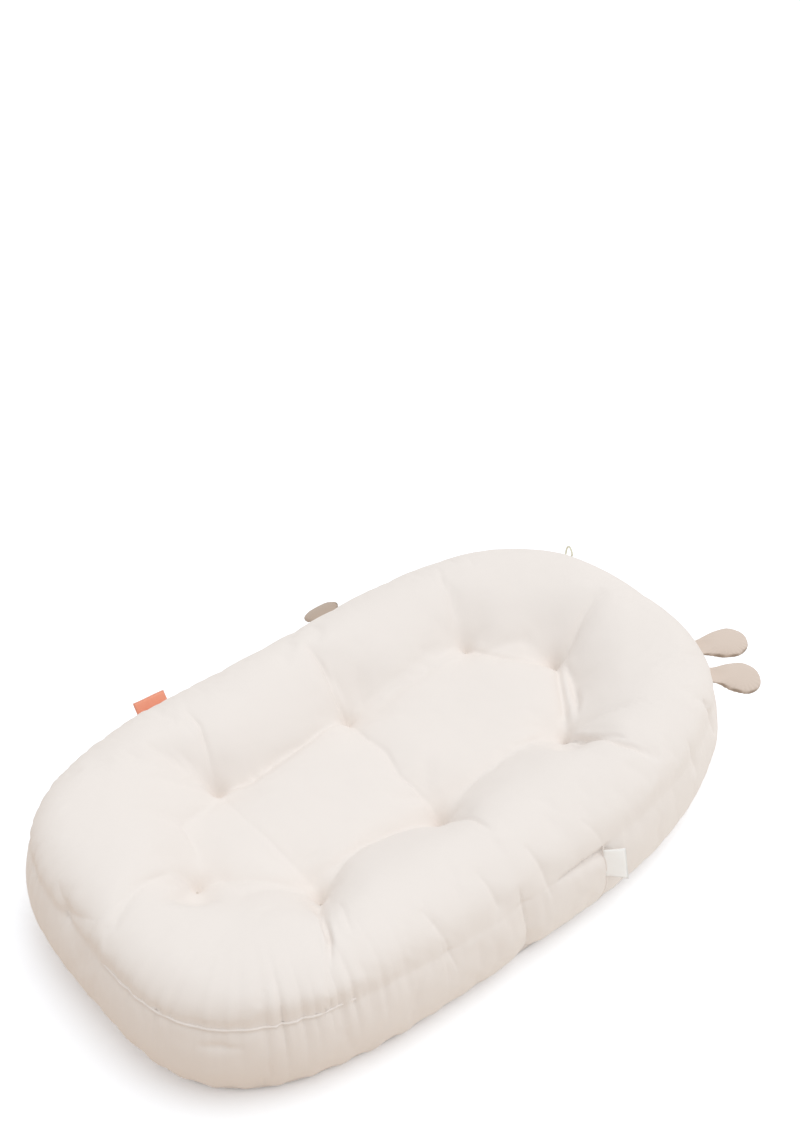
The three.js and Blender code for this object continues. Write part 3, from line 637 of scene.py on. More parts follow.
# Folds in the rim's side and the band: where each starts and ends as a place and a height over the seam,
# then its depth and reach, and the depth of the sharp line in it
side_folds = {
    "waist": ([(-0.027, -0.230, 0.024), (-0.025, -0.232, -0.010), (-0.020, -0.232, -0.055),
               (-0.014, -0.230, -0.100)], [0.0, 0.0050, 0.0060, 0.0055], 0.013, 0.0022),
    "near_foot": ([(-0.124, -0.228, 0.016), (-0.123, -0.229, -0.002), (-0.117, -0.229, -0.026)],
                  [0.0, 0.0018, 0.0], 0.007, 0.0010),
    "label_join": ([(0.0893, -0.230, 0.000), (0.0893, -0.230, -0.100)], [0.0012, 0.0016], 0.008, 0.0006),
    "label_over": ([(0.070, -0.230, 0.044), (0.082, -0.230, 0.020), (0.088, -0.230, 0.004)],
                   [0.0, 0.0016, 0.0], 0.008, 0.0004),
    "label_seam": ([(0.018, -0.230, 0.002), (0.055, -0.230, -0.001), (0.088, -0.230, -0.006)],
                   [0.0, 0.0040, 0.0040], 0.006, 0.0032),
    "near_ledge_1": ([(-0.137, -0.229, 0.052), (-0.130, -0.229, 0.030), (-0.124, -0.229, 0.012)],
                     [0.0, 0.0026, 0.0], 0.009, 0.0006),
    "near_ledge_2": ([(-0.060, -0.230, 0.050), (-0.056, -0.230, 0.018)], [0.0012, 0.0028], 0.007, 0.0008),
    "waist_over": ([(0.000, -0.230, 0.054), (0.006, -0.230, 0.022), (0.010, -0.230, -0.012)],
                   [0.0, 0.0032, 0.0], 0.008, 0.0010),
    "far_join": ([(0.0893, 0.230, 0.000), (0.0893, 0.230, -0.100)], [0.0030, 0.0022], 0.008, 0.0008),
    "foot_pinch": ([(-0.382, 0.062, 0.026), (-0.390, 0.036, 0.008)], [0.0, 0.0034], 0.011, 0.0004),
    "foot_pinch_low": ([(-0.389, -0.008, 0.030), (-0.390, 0.034, 0.006)], [0.0, 0.0034], 0.010, 0.0004),
    "foot_left": ([(-0.370, 0.120, 0.022), (-0.375, 0.110, 0.000)], [0.0, 0.0022], 0.009, 0.0003),
    "under_foot_seam": ([(-0.362, -0.147, -0.020), (-0.348, -0.163, -0.018), (-0.330, -0.177, -0.020)],
                        [0.0, 0.0024, 0.0], 0.005, 0.0006),
    "head_pinch": ([(0.306, -0.178, 0.030), (0.309, -0.178, -0.004), (0.307, -0.178, -0.024)],
                   [0.0, 0.0045, 0.0], 0.007, 0.0022),
    "head_near": ([(0.245, -0.212, 0.020), (0.250, -0.212, -0.012)], [0.0015, 0.0020], 0.007, 0.0008),
    "head_far": ([(0.340, 0.150, 0.022), (0.345, 0.150, -0.015)], [0.0015, 0.0020], 0.007, 0.0008),
    "far_foot": ([(-0.240, 0.215, 0.026), (-0.240, 0.215, -0.030)], [0.0015, 0.0030], 0.008, 0.0010),
    "far_waist": ([(-0.030, 0.230, 0.020), (-0.024, 0.230, -0.095)], [0.0, 0.0050], 0.012, 0.0018),
}


def side_path(path):
    """A side fold's path as places along the outline and heights over the seam."""
    return [(arc_at(x, y), over) for x, y, over in path]


# Gathers: the top panel and the band are eased into the seam, most of all round the foot end. The long
# ones run far up the rim, the short ones stay by the seam. Two corners are gathered more, each with its
# place, how much more and how far round.
gathers = [
    {"step": 0.021, "depth": 0.0021, "over": 0.034, "under": 0.030, "shift": 3.0},
    {"step": 0.0118, "depth": 0.0011, "over": 0.013, "under": 0.020, "shift": 11.0},
]
gathered_corners = [((-0.253, -0.210), 0.95, 0.066), ((0.309, -0.178), 0.4, 0.04)]
gather_least = 0.13
gather_foot = 0.70
gather_foot_start = 0.06
gather_foot_blend = 0.20
gather_slip = 2.6
gather_slip_scale = 7.0
gather_vary = 0.9
gather_vary_scale = 19.0
gather_lean = 0.35
gather_lean_scale = 11.0
gather_roundness = 0.8
gather_valley = 0.62
gather_least_reach = 0.004
gather_seam_gap = 0.0012
gather_seam_blend = 0.005

# Scallops: the band bulges and draws in by turns over the base seam, most toward the foot end
scallop_step = 0.034
scallop_depth = 0.0022
scallop_drift = 1.4
scallop_drift_rate = 9
scallop_far_share = 0.35
scallop_foot_start = 0.05
scallop_foot_blend = 0.15
scallop_reach = 0.016
scallop_seam_blend = 0.006

# Swells: the loose fibre lies unevenly under the cloth. They fade out where the cover rests on the floor.
slow_swell = 0.0011
slow_scale = 17.0
fine_swell = 0.0004
fine_scale = 52.0
floor_gap = 0.001
floor_blend = 0.012

# Groove: the cloth dips on both sides of the top seam, and less on the near side toward the head
groove_depth = 0.0009
groove_near_head = 0.25
groove_reach = 0.0035
groove_head_start = 0.09
groove_head_blend = 0.02
groove_side_blend = 0.1

# Sharp lines in the folds, with a low shoulder beside each, and a small pinch in the cloth at each tuft
line_reach = 0.0022
line_sharpness = 1.2
line_fade_in = 0.08
line_fade_out = 0.30
line_mean = 0.75
line_least = 0.1
line_most = 1.5
line_vary = 1.3
line_vary_scale = 22.0
line_wander = 0.0017
line_wander_scale = 38.0
line_shoulder = 0.30
shoulder_out = 2.6
shoulder_width = 1.3
side_fold_sharpness = 1.5
side_line_fade = 0.1
line_refined = 0.008
tuft_refined = 0.013
tuft_pinch = 0.006
tuft_pinch_reach = 0.0045
lowest_top_line = 0.06
lowest_side_line = 0.008
on_outline = 0.001


def swell(points, scale, shift):
    """Smooth noise over the cloth, the same each time."""
    return np.array([noise.noise(Vector(p) * scale + Vector((shift, 0, 0))) for p in points])


def line_pull(away, share, depth, unevenness):
    """A sharp line in the cloth with a low raised shoulder on either side, fading at both ends."""
    ends = smooth(share / line_fade_in) * smooth((1 - share) / line_fade_out)
    fade = ends * np.clip(line_mean + line_vary * unevenness, line_least, line_most)
    valley = np.exp(-(away / line_reach) ** line_sharpness)
    beside = (away - shoulder_out * line_reach) / (shoulder_width * line_reach)
    return depth * fade * (valley - line_shoulder * np.exp(-beside ** 2))


def gather_pull(points, arc, over):
    """Small tucks across the seam, uneven in place, depth and slant, that fade away from the seam."""
    strength = gather_least + gather_foot * smooth((-points[:, 0] - gather_foot_start) / gather_foot_blend)
    strength += sum(more * np.exp(-(np.hypot(*(points[:, :2] - corner).T) / reach) ** 2)
                    for corner, more, reach in gathered_corners)
    around = rim_arc[-1]
    pull = np.zeros(len(points))
    for gather in gathers:
        count = round(around / gather["step"])
        turn = 2 * math.pi * arc / around
        ring = np.column_stack([np.cos(turn), np.sin(turn), np.zeros(len(turn))])
        slip = swell(ring, gather_slip_scale, gather["shift"])
        vary = 1 + gather_vary * swell(ring, gather_vary_scale, gather["shift"] + 5)
        phase = math.pi * (arc / around * count) + gather_slip * slip
        lean = gather_lean * over / gather["step"] * swell(ring, gather_lean_scale, gather["shift"] + 9)
        valley = gather_valley - np.abs(np.sin(phase + lean)) ** gather_roundness
        reach = np.where(over > 0, gather["over"], gather["under"]) * vary
        fade = np.exp(-np.abs(over) / np.maximum(reach, gather_least_reach))
        fade = fade * smooth((np.abs(over) + gather_seam_gap) / gather_seam_blend)
        pull += gather["depth"] * strength * vary * valley * fade
    return pull


def refine_lines(piece):
    """Cuts the cover's faces finer along its sharp lines."""
    mesh = piece.data
    centres = np.zeros(len(mesh.polygons) * 3, np.float32)
    mesh.polygons.foreach_get("center", centres)
    centres = centres.reshape(-1, 3).astype(float)
    over_top = centres[:, 2] > lowest_top_line
    near_line = np.zeros(len(centres), bool)
    for path, _, _, _, sharp in folds.values():
        if sharp > 0:
            near_line |= over_top & (path_distance(centres[:, :2], path)[0] < line_refined)
    near_line |= over_top & (tuft_gaps(centres[:, :2]).min(0) < tuft_refined)
    zone = np.where(rim_reading(centres[:, :2])[0] > on_outline, panel_zone, band_zone)
    arc, over = unrolled(centres, zone)
    for path, _, _, sharp in side_folds.values():
        away = path_distance(np.column_stack([arc, over]), side_path(path))[0]
        near_line |= (away < line_refined) & (centres[:, 2] > lowest_side_line)
    alone(piece)
    bpy.context.tool_settings.mesh_select_mode = (False, False, True)
    for kind in (mesh.vertices, mesh.edges, mesh.polygons):
        kind.foreach_set("select", np.zeros(len(kind), bool))
    mesh.polygons.foreach_set("select", near_line)
    bpy.ops.object.mode_set(mode="EDIT")
    bpy.ops.mesh.subdivide(number_cuts=1)
    bpy.ops.object.mode_set(mode="OBJECT")


def wrinkle(piece):
    """Moves the cover's points along their own directions: gathers, folds, sharp lines and slow swells."""
    mesh = piece.data
    co, out, zone = places(mesh), directions(mesh), zones(mesh)
    arc, over = unrolled(co, zone)
    pull = np.zeros(len(co))
    on_top = zone <= top_seam_zone
    on_side = zone < base_seam_zone
    on_band = (zone > top_seam_zone) & on_side
    level = np.column_stack([co[:, :2], np.zeros(len(co))])
    wander = line_wander * np.column_stack([
        swell(level, line_wander_scale, shift=21.0), swell(level, line_wander_scale, shift=31.0)])
    unevenness = swell(level, line_vary_scale, shift=41.0)
    for path, _, _, _, sharp in folds.values():
        if sharp > 0:
            away, _, share = path_distance(co[:, :2] + wander, path)
            pull += np.where(on_top, line_pull(away, share, sharp, unevenness), 0)
    beside = np.column_stack([arc, over])
    for path, depths, reach, sharp in side_folds.values():
        away, _, share = path_distance(beside, side_path(path))
        depth = np.interp(share, np.linspace(0, 1, len(depths)), depths)
        fade = smooth(share / side_line_fade) * smooth((1 - share) / side_line_fade + 0.5)
        side_pull = depth * np.exp(-(away / reach) ** side_fold_sharpness)
        side_pull = side_pull + sharp * fade * np.exp(-(away / line_reach) ** line_sharpness)
        pull += np.where(on_side, side_pull, 0)
    pull += np.where(on_side, gather_pull(co, arc, over), 0)
    near_head = smooth((co[:, 0] - groove_head_start) / groove_head_blend)
    near_head = near_head * smooth(-co[:, 1] / groove_side_blend)
    groove = groove_depth * (1 - (1 - groove_near_head) * near_head) * np.exp(-np.abs(over) / groove_reach)
    pull += np.where(on_side, groove, 0)
    base_gap = np.abs(co[:, 2] - base_seam_level)
    scallop = np.sin(2 * math.pi * arc / scallop_step + scallop_drift * np.sin(scallop_drift_rate * arc))
    to_foot = smooth((-co[:, 0] - scallop_foot_start) / scallop_foot_blend)
    scallop = scallop_depth * (scallop_far_share + (1 - scallop_far_share) * to_foot) * scallop
    scallop = scallop * np.exp(-base_gap / scallop_reach) * smooth(base_gap / scallop_seam_blend)
    pull -= np.where(on_band, scallop, 0)
    resting = smooth((co[:, 2] - floor_gap) / floor_blend)
    pull += slow_swell * swell(co, slow_scale, shift=2.0) * resting
    pull += fine_swell * swell(co, fine_scale, shift=8.0) * resting
    co -= out * pull[:, None]
    co[:, 2] -= np.where(on_top, tuft_pinch * np.exp(-tuft_gaps(co[:, :2]).min(0) / tuft_pinch_reach), 0)
    set_places(mesh, co)


refine_lines(cushion)
wrinkle(cushion)

# Cotton: threads of one pitch cross each other, and two close tones drift over the cloth
thread_pitch = 0.0009
tone_share = 0.7
weave_share = 0.5
cotton_pale = (0.955, 0.93, 0.91)
cotton_deep = (0.93, 0.905, 0.885)


def cotton_finish(name, pale, deep, painted_shade_tone=None):
    """Plain woven cotton: fine crossed threads, a soft sheen and slow changes of tone. Where a small
    piece's points carry painted shade, its colour goes there toward a given darker tone of painted shade."""
    finish = Finish(name)
    cloth = finish.node("ShaderNodeUVMap", uv_map="cloth").outputs["UV"]
    place = finish.node("ShaderNodeTexCoord").outputs["Object"]
    axes = finish.node("ShaderNodeSeparateXYZ", {"Vector": cloth})
    turns = 2 * math.pi / thread_pitch
    across = finish.maths("SINE", finish.maths("MULTIPLY", axes.outputs["X"], turns))
    along = finish.maths("SINE", finish.maths("MULTIPLY", axes.outputs["Y"], turns))
    weave = finish.maths("MULTIPLY", across, along)
    slubs = finish.node("ShaderNodeTexNoise", {"Vector": place, "Scale": 900.0, "Detail": 2.0})
    tone = finish.node("ShaderNodeTexNoise", {"Vector": place, "Scale": 9.0, "Detail": 3.0})
    share = finish.maths("ADD", finish.maths("MULTIPLY", tone.outputs["Fac"], tone_share),
                         finish.maths("MULTIPLY", slubs.outputs["Fac"], 1 - tone_share))
    colour = finish.mix(share, linear(*deep), linear(*pale))
    # Painted shade: the colour goes toward the darker tone where the points are marked with it
    if painted_shade_tone:
        painted_shade_shares = finish.node("ShaderNodeAttribute", attribute_name="painted_shade").outputs["Fac"]
        colour = finish.mix(painted_shade_shares, colour, linear(*painted_shade_tone))
    height = finish.maths("ADD", finish.maths("MULTIPLY", weave, weave_share), slubs.outputs["Fac"])
    bump = finish.node("ShaderNodeBump", {"Height": height, "Strength": 0.15, "Distance": 0.0002})
    finish.set(Base_Color=colour, Roughness=0.92, Normal=bump.outputs["Normal"],
               Sheen_Weight=0.12, Sheen_Roughness=0.5)
    return finish.material


cushion.data.materials.append(cotton_finish("ivory cotton", cotton_pale, cotton_deep))
alone(cushion)
bpy.ops.object.shade_smooth()
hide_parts("top_panel", "side_band_head", "side_band_foot", "base_panel", "fibre_filling")
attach(cushion, "lounger")


# Seams: where top panel, band and base are sewn together the layers stand up as a narrow ridge. It stands
# out round the near foot corner and along the far side, and elsewhere the puffed panels draw it in.
seam_foot_rise = 0.0003
seam_side_sink = 0.0042
seam_waver = 0.0009
seam_waver_scale = 85.0
seam_step = 2
base_seam_rise = -0.0003
foot_seam_start = 0.16
foot_seam_blend = 0.11
foot_seam_side = 0.01
foot_seam_side_blend = 0.07
far_seam_start = 0.06
far_seam_blend = 0.06
far_seam_end = 0.37
far_seam_end_blend = 0.05
join_place = 0.0893
join_bead = 0.0009
join_rise = 0.0002
join_out = 0.006
join_over_base = 0.004
join_under_top = 0.003
join_steps = 24
cover_tree = BVHTree.FromPolygons(
    [v.co.copy() for v in cushion.data.vertices], [tuple(p.vertices) for p in cushion.data.polygons])


def on_cover(points, rises):
    """The nearest places on the cushion's cover, raised by the given heights along its own directions."""
    seated = []
    for point, rise in zip(points, rises):
        place, out, _, _ = cover_tree.find_nearest(Vector(point))
        seated.append(place + out * rise)
    return seated


def sewn_ridge(name, points, radius, closed):
    """A thin round bead of folded cloth along a row of points."""
    curve = bpy.data.curves.new(name, "CURVE")
    curve.dimensions = "3D"
    curve.bevel_depth = radius
    curve.bevel_resolution = 2
    curve.use_fill_caps = True
    spline = curve.splines.new("POLY")
    spline.points.add(len(points) - 1)
    for control, point in zip(spline.points, points):
        control.co = (*point, 1)
    spline.use_cyclic_u = closed
    piece = bpy.data.objects.new(name, curve)
    bpy.context.scene.collection.objects.link(piece)
    alone(piece)
    bpy.ops.object.convert(target="MESH")
    bpy.ops.object.shade_smooth()
    return bpy.context.object


def seam_finish():
    """The same ivory cotton, folded and pressed, with the stitches that hold it showing as small dents."""
    finish = Finish("sewn ivory edge")
    place = finish.node("ShaderNodeTexCoord").outputs["Object"]
    stitches = finish.node("ShaderNodeTexNoise", {"Vector": place, "Scale": 420.0, "Detail": 2.0})
    tone = finish.node("ShaderNodeTexNoise", {"Vector": place, "Scale": 30.0, "Detail": 2.0})
    colour = finish.mix(tone.outputs["Fac"], linear(*cotton_deep), linear(*cotton_pale))
    bump = finish.node("ShaderNodeBump", {
        "Height": stitches.outputs["Fac"], "Strength": 0.5, "Distance": 0.0004})
    finish.set(Base_Color=colour, Roughness=0.92, Normal=bump.outputs["Normal"], Sheen_Weight=0.12)
    return finish.material


sewn_edge = seam_finish()
seam_line = rim_points[::seam_step]
seam_x, seam_y = seam_line.T
foot_share = smooth((-seam_x - foot_seam_start) / foot_seam_blend)
foot_share = foot_share * smooth((foot_seam_side - seam_y) / foot_seam_side_blend)
far_share = smooth((seam_y - far_seam_start) / far_seam_blend)
far_share = far_share * smooth((seam_x + far_seam_end) / far_seam_end_blend)
shown = np.maximum(foot_share, far_share)
top_rise = -seam_side_sink + (seam_foot_rise + seam_side_sink) * shown
level_line = np.column_stack([seam_line, np.zeros(len(seam_line))])
top_rise += seam_waver * swell(level_line, seam_waver_scale, shift=14.0)
top_line = np.column_stack([seam_line, seam_level - sag(seam_x)])
base_line = np.column_stack([
    (rim_points - rim_out * base_inset)[::seam_step], np.full(len(seam_line), base_seam_level)])
base_rise = np.full(len(base_line), base_seam_rise)
ridges = (("top_seam_ridge", top_line, top_rise), ("base_seam_ridge", base_line, base_rise))
for name, line, rises in ridges:
    ridge = sewn_ridge(name, on_cover(line, rises), seam_bead, True)
    ridge.data.materials.append(sewn_edge)
    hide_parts(name.replace("_ridge", ""))
    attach(ridge, "lounger")

# Band joins: the two strips of the side band meet in an upright seam on either side
join_low = base_seam_level + join_over_base
join_high = seam_level - sag(join_place) - join_under_top
for name, side in (("near_band_join", -1), ("far_band_join", 1)):
    gaps = np.hypot(rim_points[:, 0] - join_place, rim_points[:, 1] - side * half_width)
    x, y = rim_points[np.argmin(gaps)]
    line = [(x, y + side * join_out, level) for level in np.linspace(join_low, join_high, join_steps)]
    join = sewn_ridge(name, on_cover(line, [join_rise] * join_steps), join_bead, False)
    join.data.materials.append(sewn_edge)
    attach(join, "lounger")


# Tufting threads: one strong thread at each tuft goes down through the filling and back, and ends in a
# few tight turns on the bed and under the base. It is sunk in its dimple and hardly shows.
thread_radius = 0.00055
turn_radius = 0.0013
first_turn_share = 0.35
turns_in_knot = 2.5
turn_steps = 12
knot_sink = 0.0004
over_cushion = 0.3
under_cushion = -0.1
thread_pale = (0.90, 0.875, 0.845)
thread_deep = (0.84, 0.81, 0.775)


def thread_finish():
    """Twisted ivory thread: fine slanting strands."""
    finish = Finish("ivory thread")
    place = finish.node("ShaderNodeTexCoord").outputs["Object"]
    strands = finish.node("ShaderNodeTexWave", {"Vector": place, "Scale": 700.0, "Distortion": 1.0},
                          bands_direction="DIAGONAL")
    colour = finish.mix(strands.outputs["Fac"], linear(*thread_deep), linear(*thread_pale))
    bump = finish.node("ShaderNodeBump", {
        "Height": strands.outputs["Fac"], "Strength": 0.5, "Distance": 0.0002})
    finish.set(Base_Color=colour, Roughness=0.8, Normal=bump.outputs["Normal"], Sheen_Weight=0.1)
    return finish.material


def knot_turns(centre, level, lift):
    """Turns of a knot from its middle out, over a low crest."""
    steps = round(turns_in_knot * turn_steps)
    route = []
    for k in range(steps + 1):
        turn = 2 * math.pi * k / turn_steps
        reach = turn_radius * (first_turn_share + (1 - first_turn_share) * k / steps)
        route.append((centre[0] + reach * math.cos(turn), centre[1] + reach * math.sin(turn),
                      level + lift * math.sin(math.pi * k / steps)))
    return route


ivory_thread = thread_finish()
down = Vector((0, 0, -1))
upward = Vector((0, 0, 1))
for number, centre in enumerate(tuft_places.values(), 1):
    bed = cover_tree.ray_cast(Vector((*centre, over_cushion)), down)[0].z
    base = cover_tree.ray_cast(Vector((*centre, under_cushion)), upward)[0].z
    over = knot_turns(centre, bed + thread_radius - knot_sink, thread_radius)
    under = knot_turns(centre, base - thread_radius + knot_sink, -thread_radius)
    route = over[::-1] + under
    tie = sewn_ridge(f"tufting_thread_{number}", route, thread_radius, False)
    tie.data.materials.append(ivory_thread)
    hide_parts(f"tuft_tie_{number}")
    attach(tie, "lounger")


# Ears and side flap: small pads of taupe cotton, two paddle-shaped faces sewn together, turned and
# lightly stuffed. The edge puckers, and the flat root is caught in the cushion's top seam.
ear = {"length": 0.071, "width": 0.038, "root": 0.025, "thickness": 0.0145, "droop": 0.003, "turn": 20,
       "lean": 0.0, "full": 0.64}
second_ear = {**ear, "length": 0.0625, "width": 0.039}
flap = {"length": 0.050, "width": 0.048, "root": 0.032, "thickness": 0.009, "droop": 0.0155, "turn": 0,
        "lean": -0.012, "full": 0.38}
flap_slip = 0.006
taupe_pale = (0.880, 0.822, 0.776)
taupe_deep = (0.846, 0.786, 0.738)
# Painted shade: the darker tones the pads' cloth takes along their lower edges and in their puckers
taupe_edge_painted_shade = (0.63, 0.56, 0.50)
# Painted shade: the side flap's cloth is the ears' taupe painted darker, for the shade the flap lies in
# behind the far rim
flap_painted_shade_pale = (0.760, 0.690, 0.630)
flap_painted_shade_deep = (0.710, 0.640, 0.580)
flap_edge_painted_shade = (0.50, 0.44, 0.38)
paddle_centre = 0.55
paddle_rings = 16
neck_steps = 20
tip_steps = 24
ring_crowding = 0.8
root_points = 7
sewn_in = 0.006
cloth_half = 0.0006
puff_sharpness = 2.2
puff_start = 0.04
puff_blend = 0.42
turn_blend = 0.45
pucker_step = 0.0062
pucker_drift = 1.6
pucker_drift_reach = 0.019
pucker_valley = 0.6
pucker_roundness = 0.8
pucker_depth = 0.0017
pucker_reach = 0.17
pucker_seam_blend = 0.08
pucker_root_start = 0.02
pucker_root_blend = 0.2
pucker_low_side = 0.8
low_side_start = 0.2
low_side_blend = 0.6
# Painted shade on the pads: a strip of uneven width along the lower edge and the pucker hollows near it,
# less on the under face
painted_shade_width = 0.13
painted_shade_vary = 0.5
painted_shade_vary_rate = 0.7
painted_shade_in_puckers = 0.4
painted_shade_under_share = 0.4
edge_wave = 0.0004
edge_wave_rate = 0.5
edge_wave_sharpness = 4


def hinge_frame(joint_name, rise_degrees):
    """Where a trim is sewn in, and its directions: out from the seam, along it and up from its face."""
    joint = next(j for j in frame["joints"] if j["name"] == joint_name)
    along = -Vector(joint["axis"]).normalized()
    level_out = Vector((along.y, -along.x, 0)).normalized()
    level_up = level_out.cross(along)
    rise = math.radians(rise_degrees)
    out = level_out * math.cos(rise) + level_up * math.sin(rise)
    return Vector(joint["pos_m"]), out, along, out.cross(along)


def paddle_outline(size):
    """Half of the paddle's outline from the root to the tip, as shares of its length and half widths."""
    neck = np.linspace(0, size["full"], neck_steps, endpoint=False)
    neck_half = (size["root"] + (size["width"] - size["root"]) * smooth(neck / size["full"])) / 2
    turn = np.linspace(0, math.pi / 2, tip_steps)
    end = size["full"] + (1 - size["full"]) * np.sin(turn)
    end_half = size["width"] / 2 * np.cos(turn)
    return np.concatenate([neck, end]), np.concatenate([neck_half, end_half])


def turned(x, y, z, at, degrees):
    """Turns the paddle about its own length, from nothing at its root to the full turn at its middle."""
    turn = math.radians(degrees) * smooth(at / turn_blend)
    return list(zip(x, y * np.cos(turn) - z * np.sin(turn), z * np.cos(turn) + y * np.sin(turn)))


def paddle_mesh(name, size, seed):
    """Two puffed faces that meet in a sharp sewn edge, as rings round the paddle's middle. Painted shade is
    marked on its points: a strip along its lower edge and the pucker hollows near that edge, less on the
    under face."""
    along, half = paddle_outline(size)
    root = np.linspace(-1, 1, root_points + 2)[1:-1] * size["root"] / 2
    inset = -sewn_in / size["length"]
    q = np.concatenate([[inset], along, along[-2::-1], [inset], np.full(len(root), inset)])
    y = np.concatenate([[half[0]], half, -half[-2::-1], [-half[0]], root])
    edge = np.column_stack([q * size["length"], y])
    steps = np.linalg.norm(np.roll(edge, -1, 0) - edge, axis=1)
    arc = np.concatenate([[0], np.cumsum(steps)[:-1]])
    count = len(q)
    low_side = smooth(-y / (low_side_blend * size["width"] / 2) - low_side_start)
    shares = np.linspace(0, 1, paddle_rings + 1)[1:] ** ring_crowding
    vertices = []
    painted_shade_shares = []
    layers = []
    for side in (1, -1):
        rings = []
        for share in shares:
            at = paddle_centre + (q - paddle_centre) * share
            x = at * size["length"]
            across = y * share + size["lean"] * at ** 2
            full = np.sqrt(np.maximum(0, 1 - share ** puff_sharpness))
            full = full * smooth((at + puff_start) / puff_blend)
            lift = cloth_half + (size["thickness"] / 2 - cloth_half) * full
            drift = pucker_drift * np.sin(arc / pucker_drift_reach + seed + side)
            phase = math.pi * arc / pucker_step + drift
            valley = pucker_valley - np.abs(np.sin(phase)) ** pucker_roundness
            near_edge = np.exp(-(1 - share) / pucker_reach)
            near_edge = near_edge * smooth((at - pucker_root_start) / pucker_root_blend)
            pucker = pucker_depth * (1 + pucker_low_side * low_side) * valley * near_edge
            lift = lift - pucker * smooth((1 - share) / pucker_seam_blend)
            # Painted shade: darker along the lower edge and in the pucker hollows there, less on the under
            # face
            uneven = 1 + painted_shade_vary * np.sin(phase * painted_shade_vary_rate + seed)
            strip = smooth((share - 1 + painted_shade_width) / painted_shade_width * uneven)
            pucker_painted_shade = painted_shade_in_puckers * np.clip(valley / pucker_valley, 0, 1) * near_edge ** 2
            painted_shade = low_side * np.clip(strip + pucker_painted_shade, 0, 1)
            painted_shade *= 1 if side > 0 else painted_shade_under_share
            wave = edge_wave * np.sin(phase * edge_wave_rate + seed) * share ** edge_wave_sharpness
            z = -size["droop"] * at ** 2 + wave + side * lift * (1 if share < 1 else 0)
            if share == 1 and side == -1:
                rings.append(layers[0][1][-1])
                continue
            rings.append(len(vertices))
            vertices.extend(turned(x, across, z, at, size["turn"]))
            painted_shade_shares.extend(painted_shade)
        layers.append((side, rings, len(vertices)))
        centre = np.array([
            [paddle_centre * size["length"]], [size["lean"] * paddle_centre ** 2],
            [side * size["thickness"] / 2 - size["droop"] * paddle_centre ** 2], [paddle_centre]])
        vertices.extend(turned(*centre, size["turn"]))
        painted_shade_shares.append(0.0)
    faces = []
    for side, rings, middle in layers:
        for i in range(count):
            j = (i + 1) % count
            tip = (middle, rings[0] + j, rings[0] + i) if side > 0 else (middle, rings[0] + i, rings[0] + j)
            faces.append(tip)
            for inner, outer in zip(rings[:-1], rings[1:]):
                quad = (inner + i, inner + j, outer + j, outer + i)
                faces.append(quad if side > 0 else quad[::-1])
    mesh = bpy.data.meshes.new(name)
    mesh.from_pydata([tuple(map(float, v)) for v in vertices], [], faces)
    layer = mesh.uv_layers.new(name="cloth")
    for loop in mesh.loops:
        layer.data[loop.index].uv = vertices[loop.vertex_index][:2]
    mesh.attributes.new("painted_shade", "FLOAT", "POINT").data.foreach_set("value", np.array(painted_shade_shares, np.float32))
    mesh.update()
    return mesh


def set_in_frame(piece, place, out, along, up):
    """Moves the mesh's own points to where the piece is sewn in."""
    turn = Matrix((out, along, up)).transposed().to_4x4()
    piece.data.transform(Matrix.Translation(place) @ turn)
    piece.data.update()


taupe = cotton_finish("taupe cotton", taupe_pale, taupe_deep, taupe_edge_painted_shade)
# Painted shade: the side flap's cloth is the same taupe painted darker
painted_shade_taupe = cotton_finish("taupe cotton in painted shade", flap_painted_shade_pale, flap_painted_shade_deep, flap_edge_painted_shade)

# Each pad's name and sizes, how many degrees it rises from its seam, its puckers' seed and its cloth
pads = [
    ("ear_1", ear, -5, 0.7, taupe),
    ("ear_2", second_ear, -9, 2.9, taupe),
    ("side_flap", flap, -14, 5.1, painted_shade_taupe),
]
for name, size, rise, seed, cloth in pads:
    pad = bpy.data.objects.new(f"{name}_pad", paddle_mesh(f"{name}_pad", size, seed))
    bpy.context.scene.collection.objects.link(pad)
    apply_subdivision(pad, 1)
    bpy.ops.object.mode_set(mode="EDIT")
    bpy.ops.mesh.select_all(action="SELECT")
    bpy.ops.mesh.normals_make_consistent(inside=False)
    bpy.ops.object.mode_set(mode="OBJECT")
    bpy.ops.object.shade_smooth()
    place, out, along, up = hinge_frame(f"{name}_bend", rise)
    if name == "side_flap":
        place = place - along * flap_slip
    set_in_frame(pad, place, out, along, up)
    pad.data.materials.append(cloth)
    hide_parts(f"{name}_upper_cloth", f"{name}_lower_cloth", f"{name}_wadding")
    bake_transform(pad)


# Labels: short lengths of woven ribbon, folded in half with both ends caught in a seam, one salmon
# orange in the far top seam, one white in the near band join. The ribbon is close woven and thin.
ribbon_half = 0.0003
ribbon_gap = 0.0004
label_sewn_in = 0.004
fold_steps = 6
ribbon_columns = 16
ribbon_rows = 8
ribbon_ripple = 0.0004
ripple_rate = 7
curl_least = 0.6
curl_gain = 0.8
rib_pitch = 0.0007
ribbon_thread_pitch = 0.0005
rib_share = 0.7
merge_gap = 0.00001
orange_rise = 63
orange_tilt = 5
orange_slip = 0.003
white_swing = 50


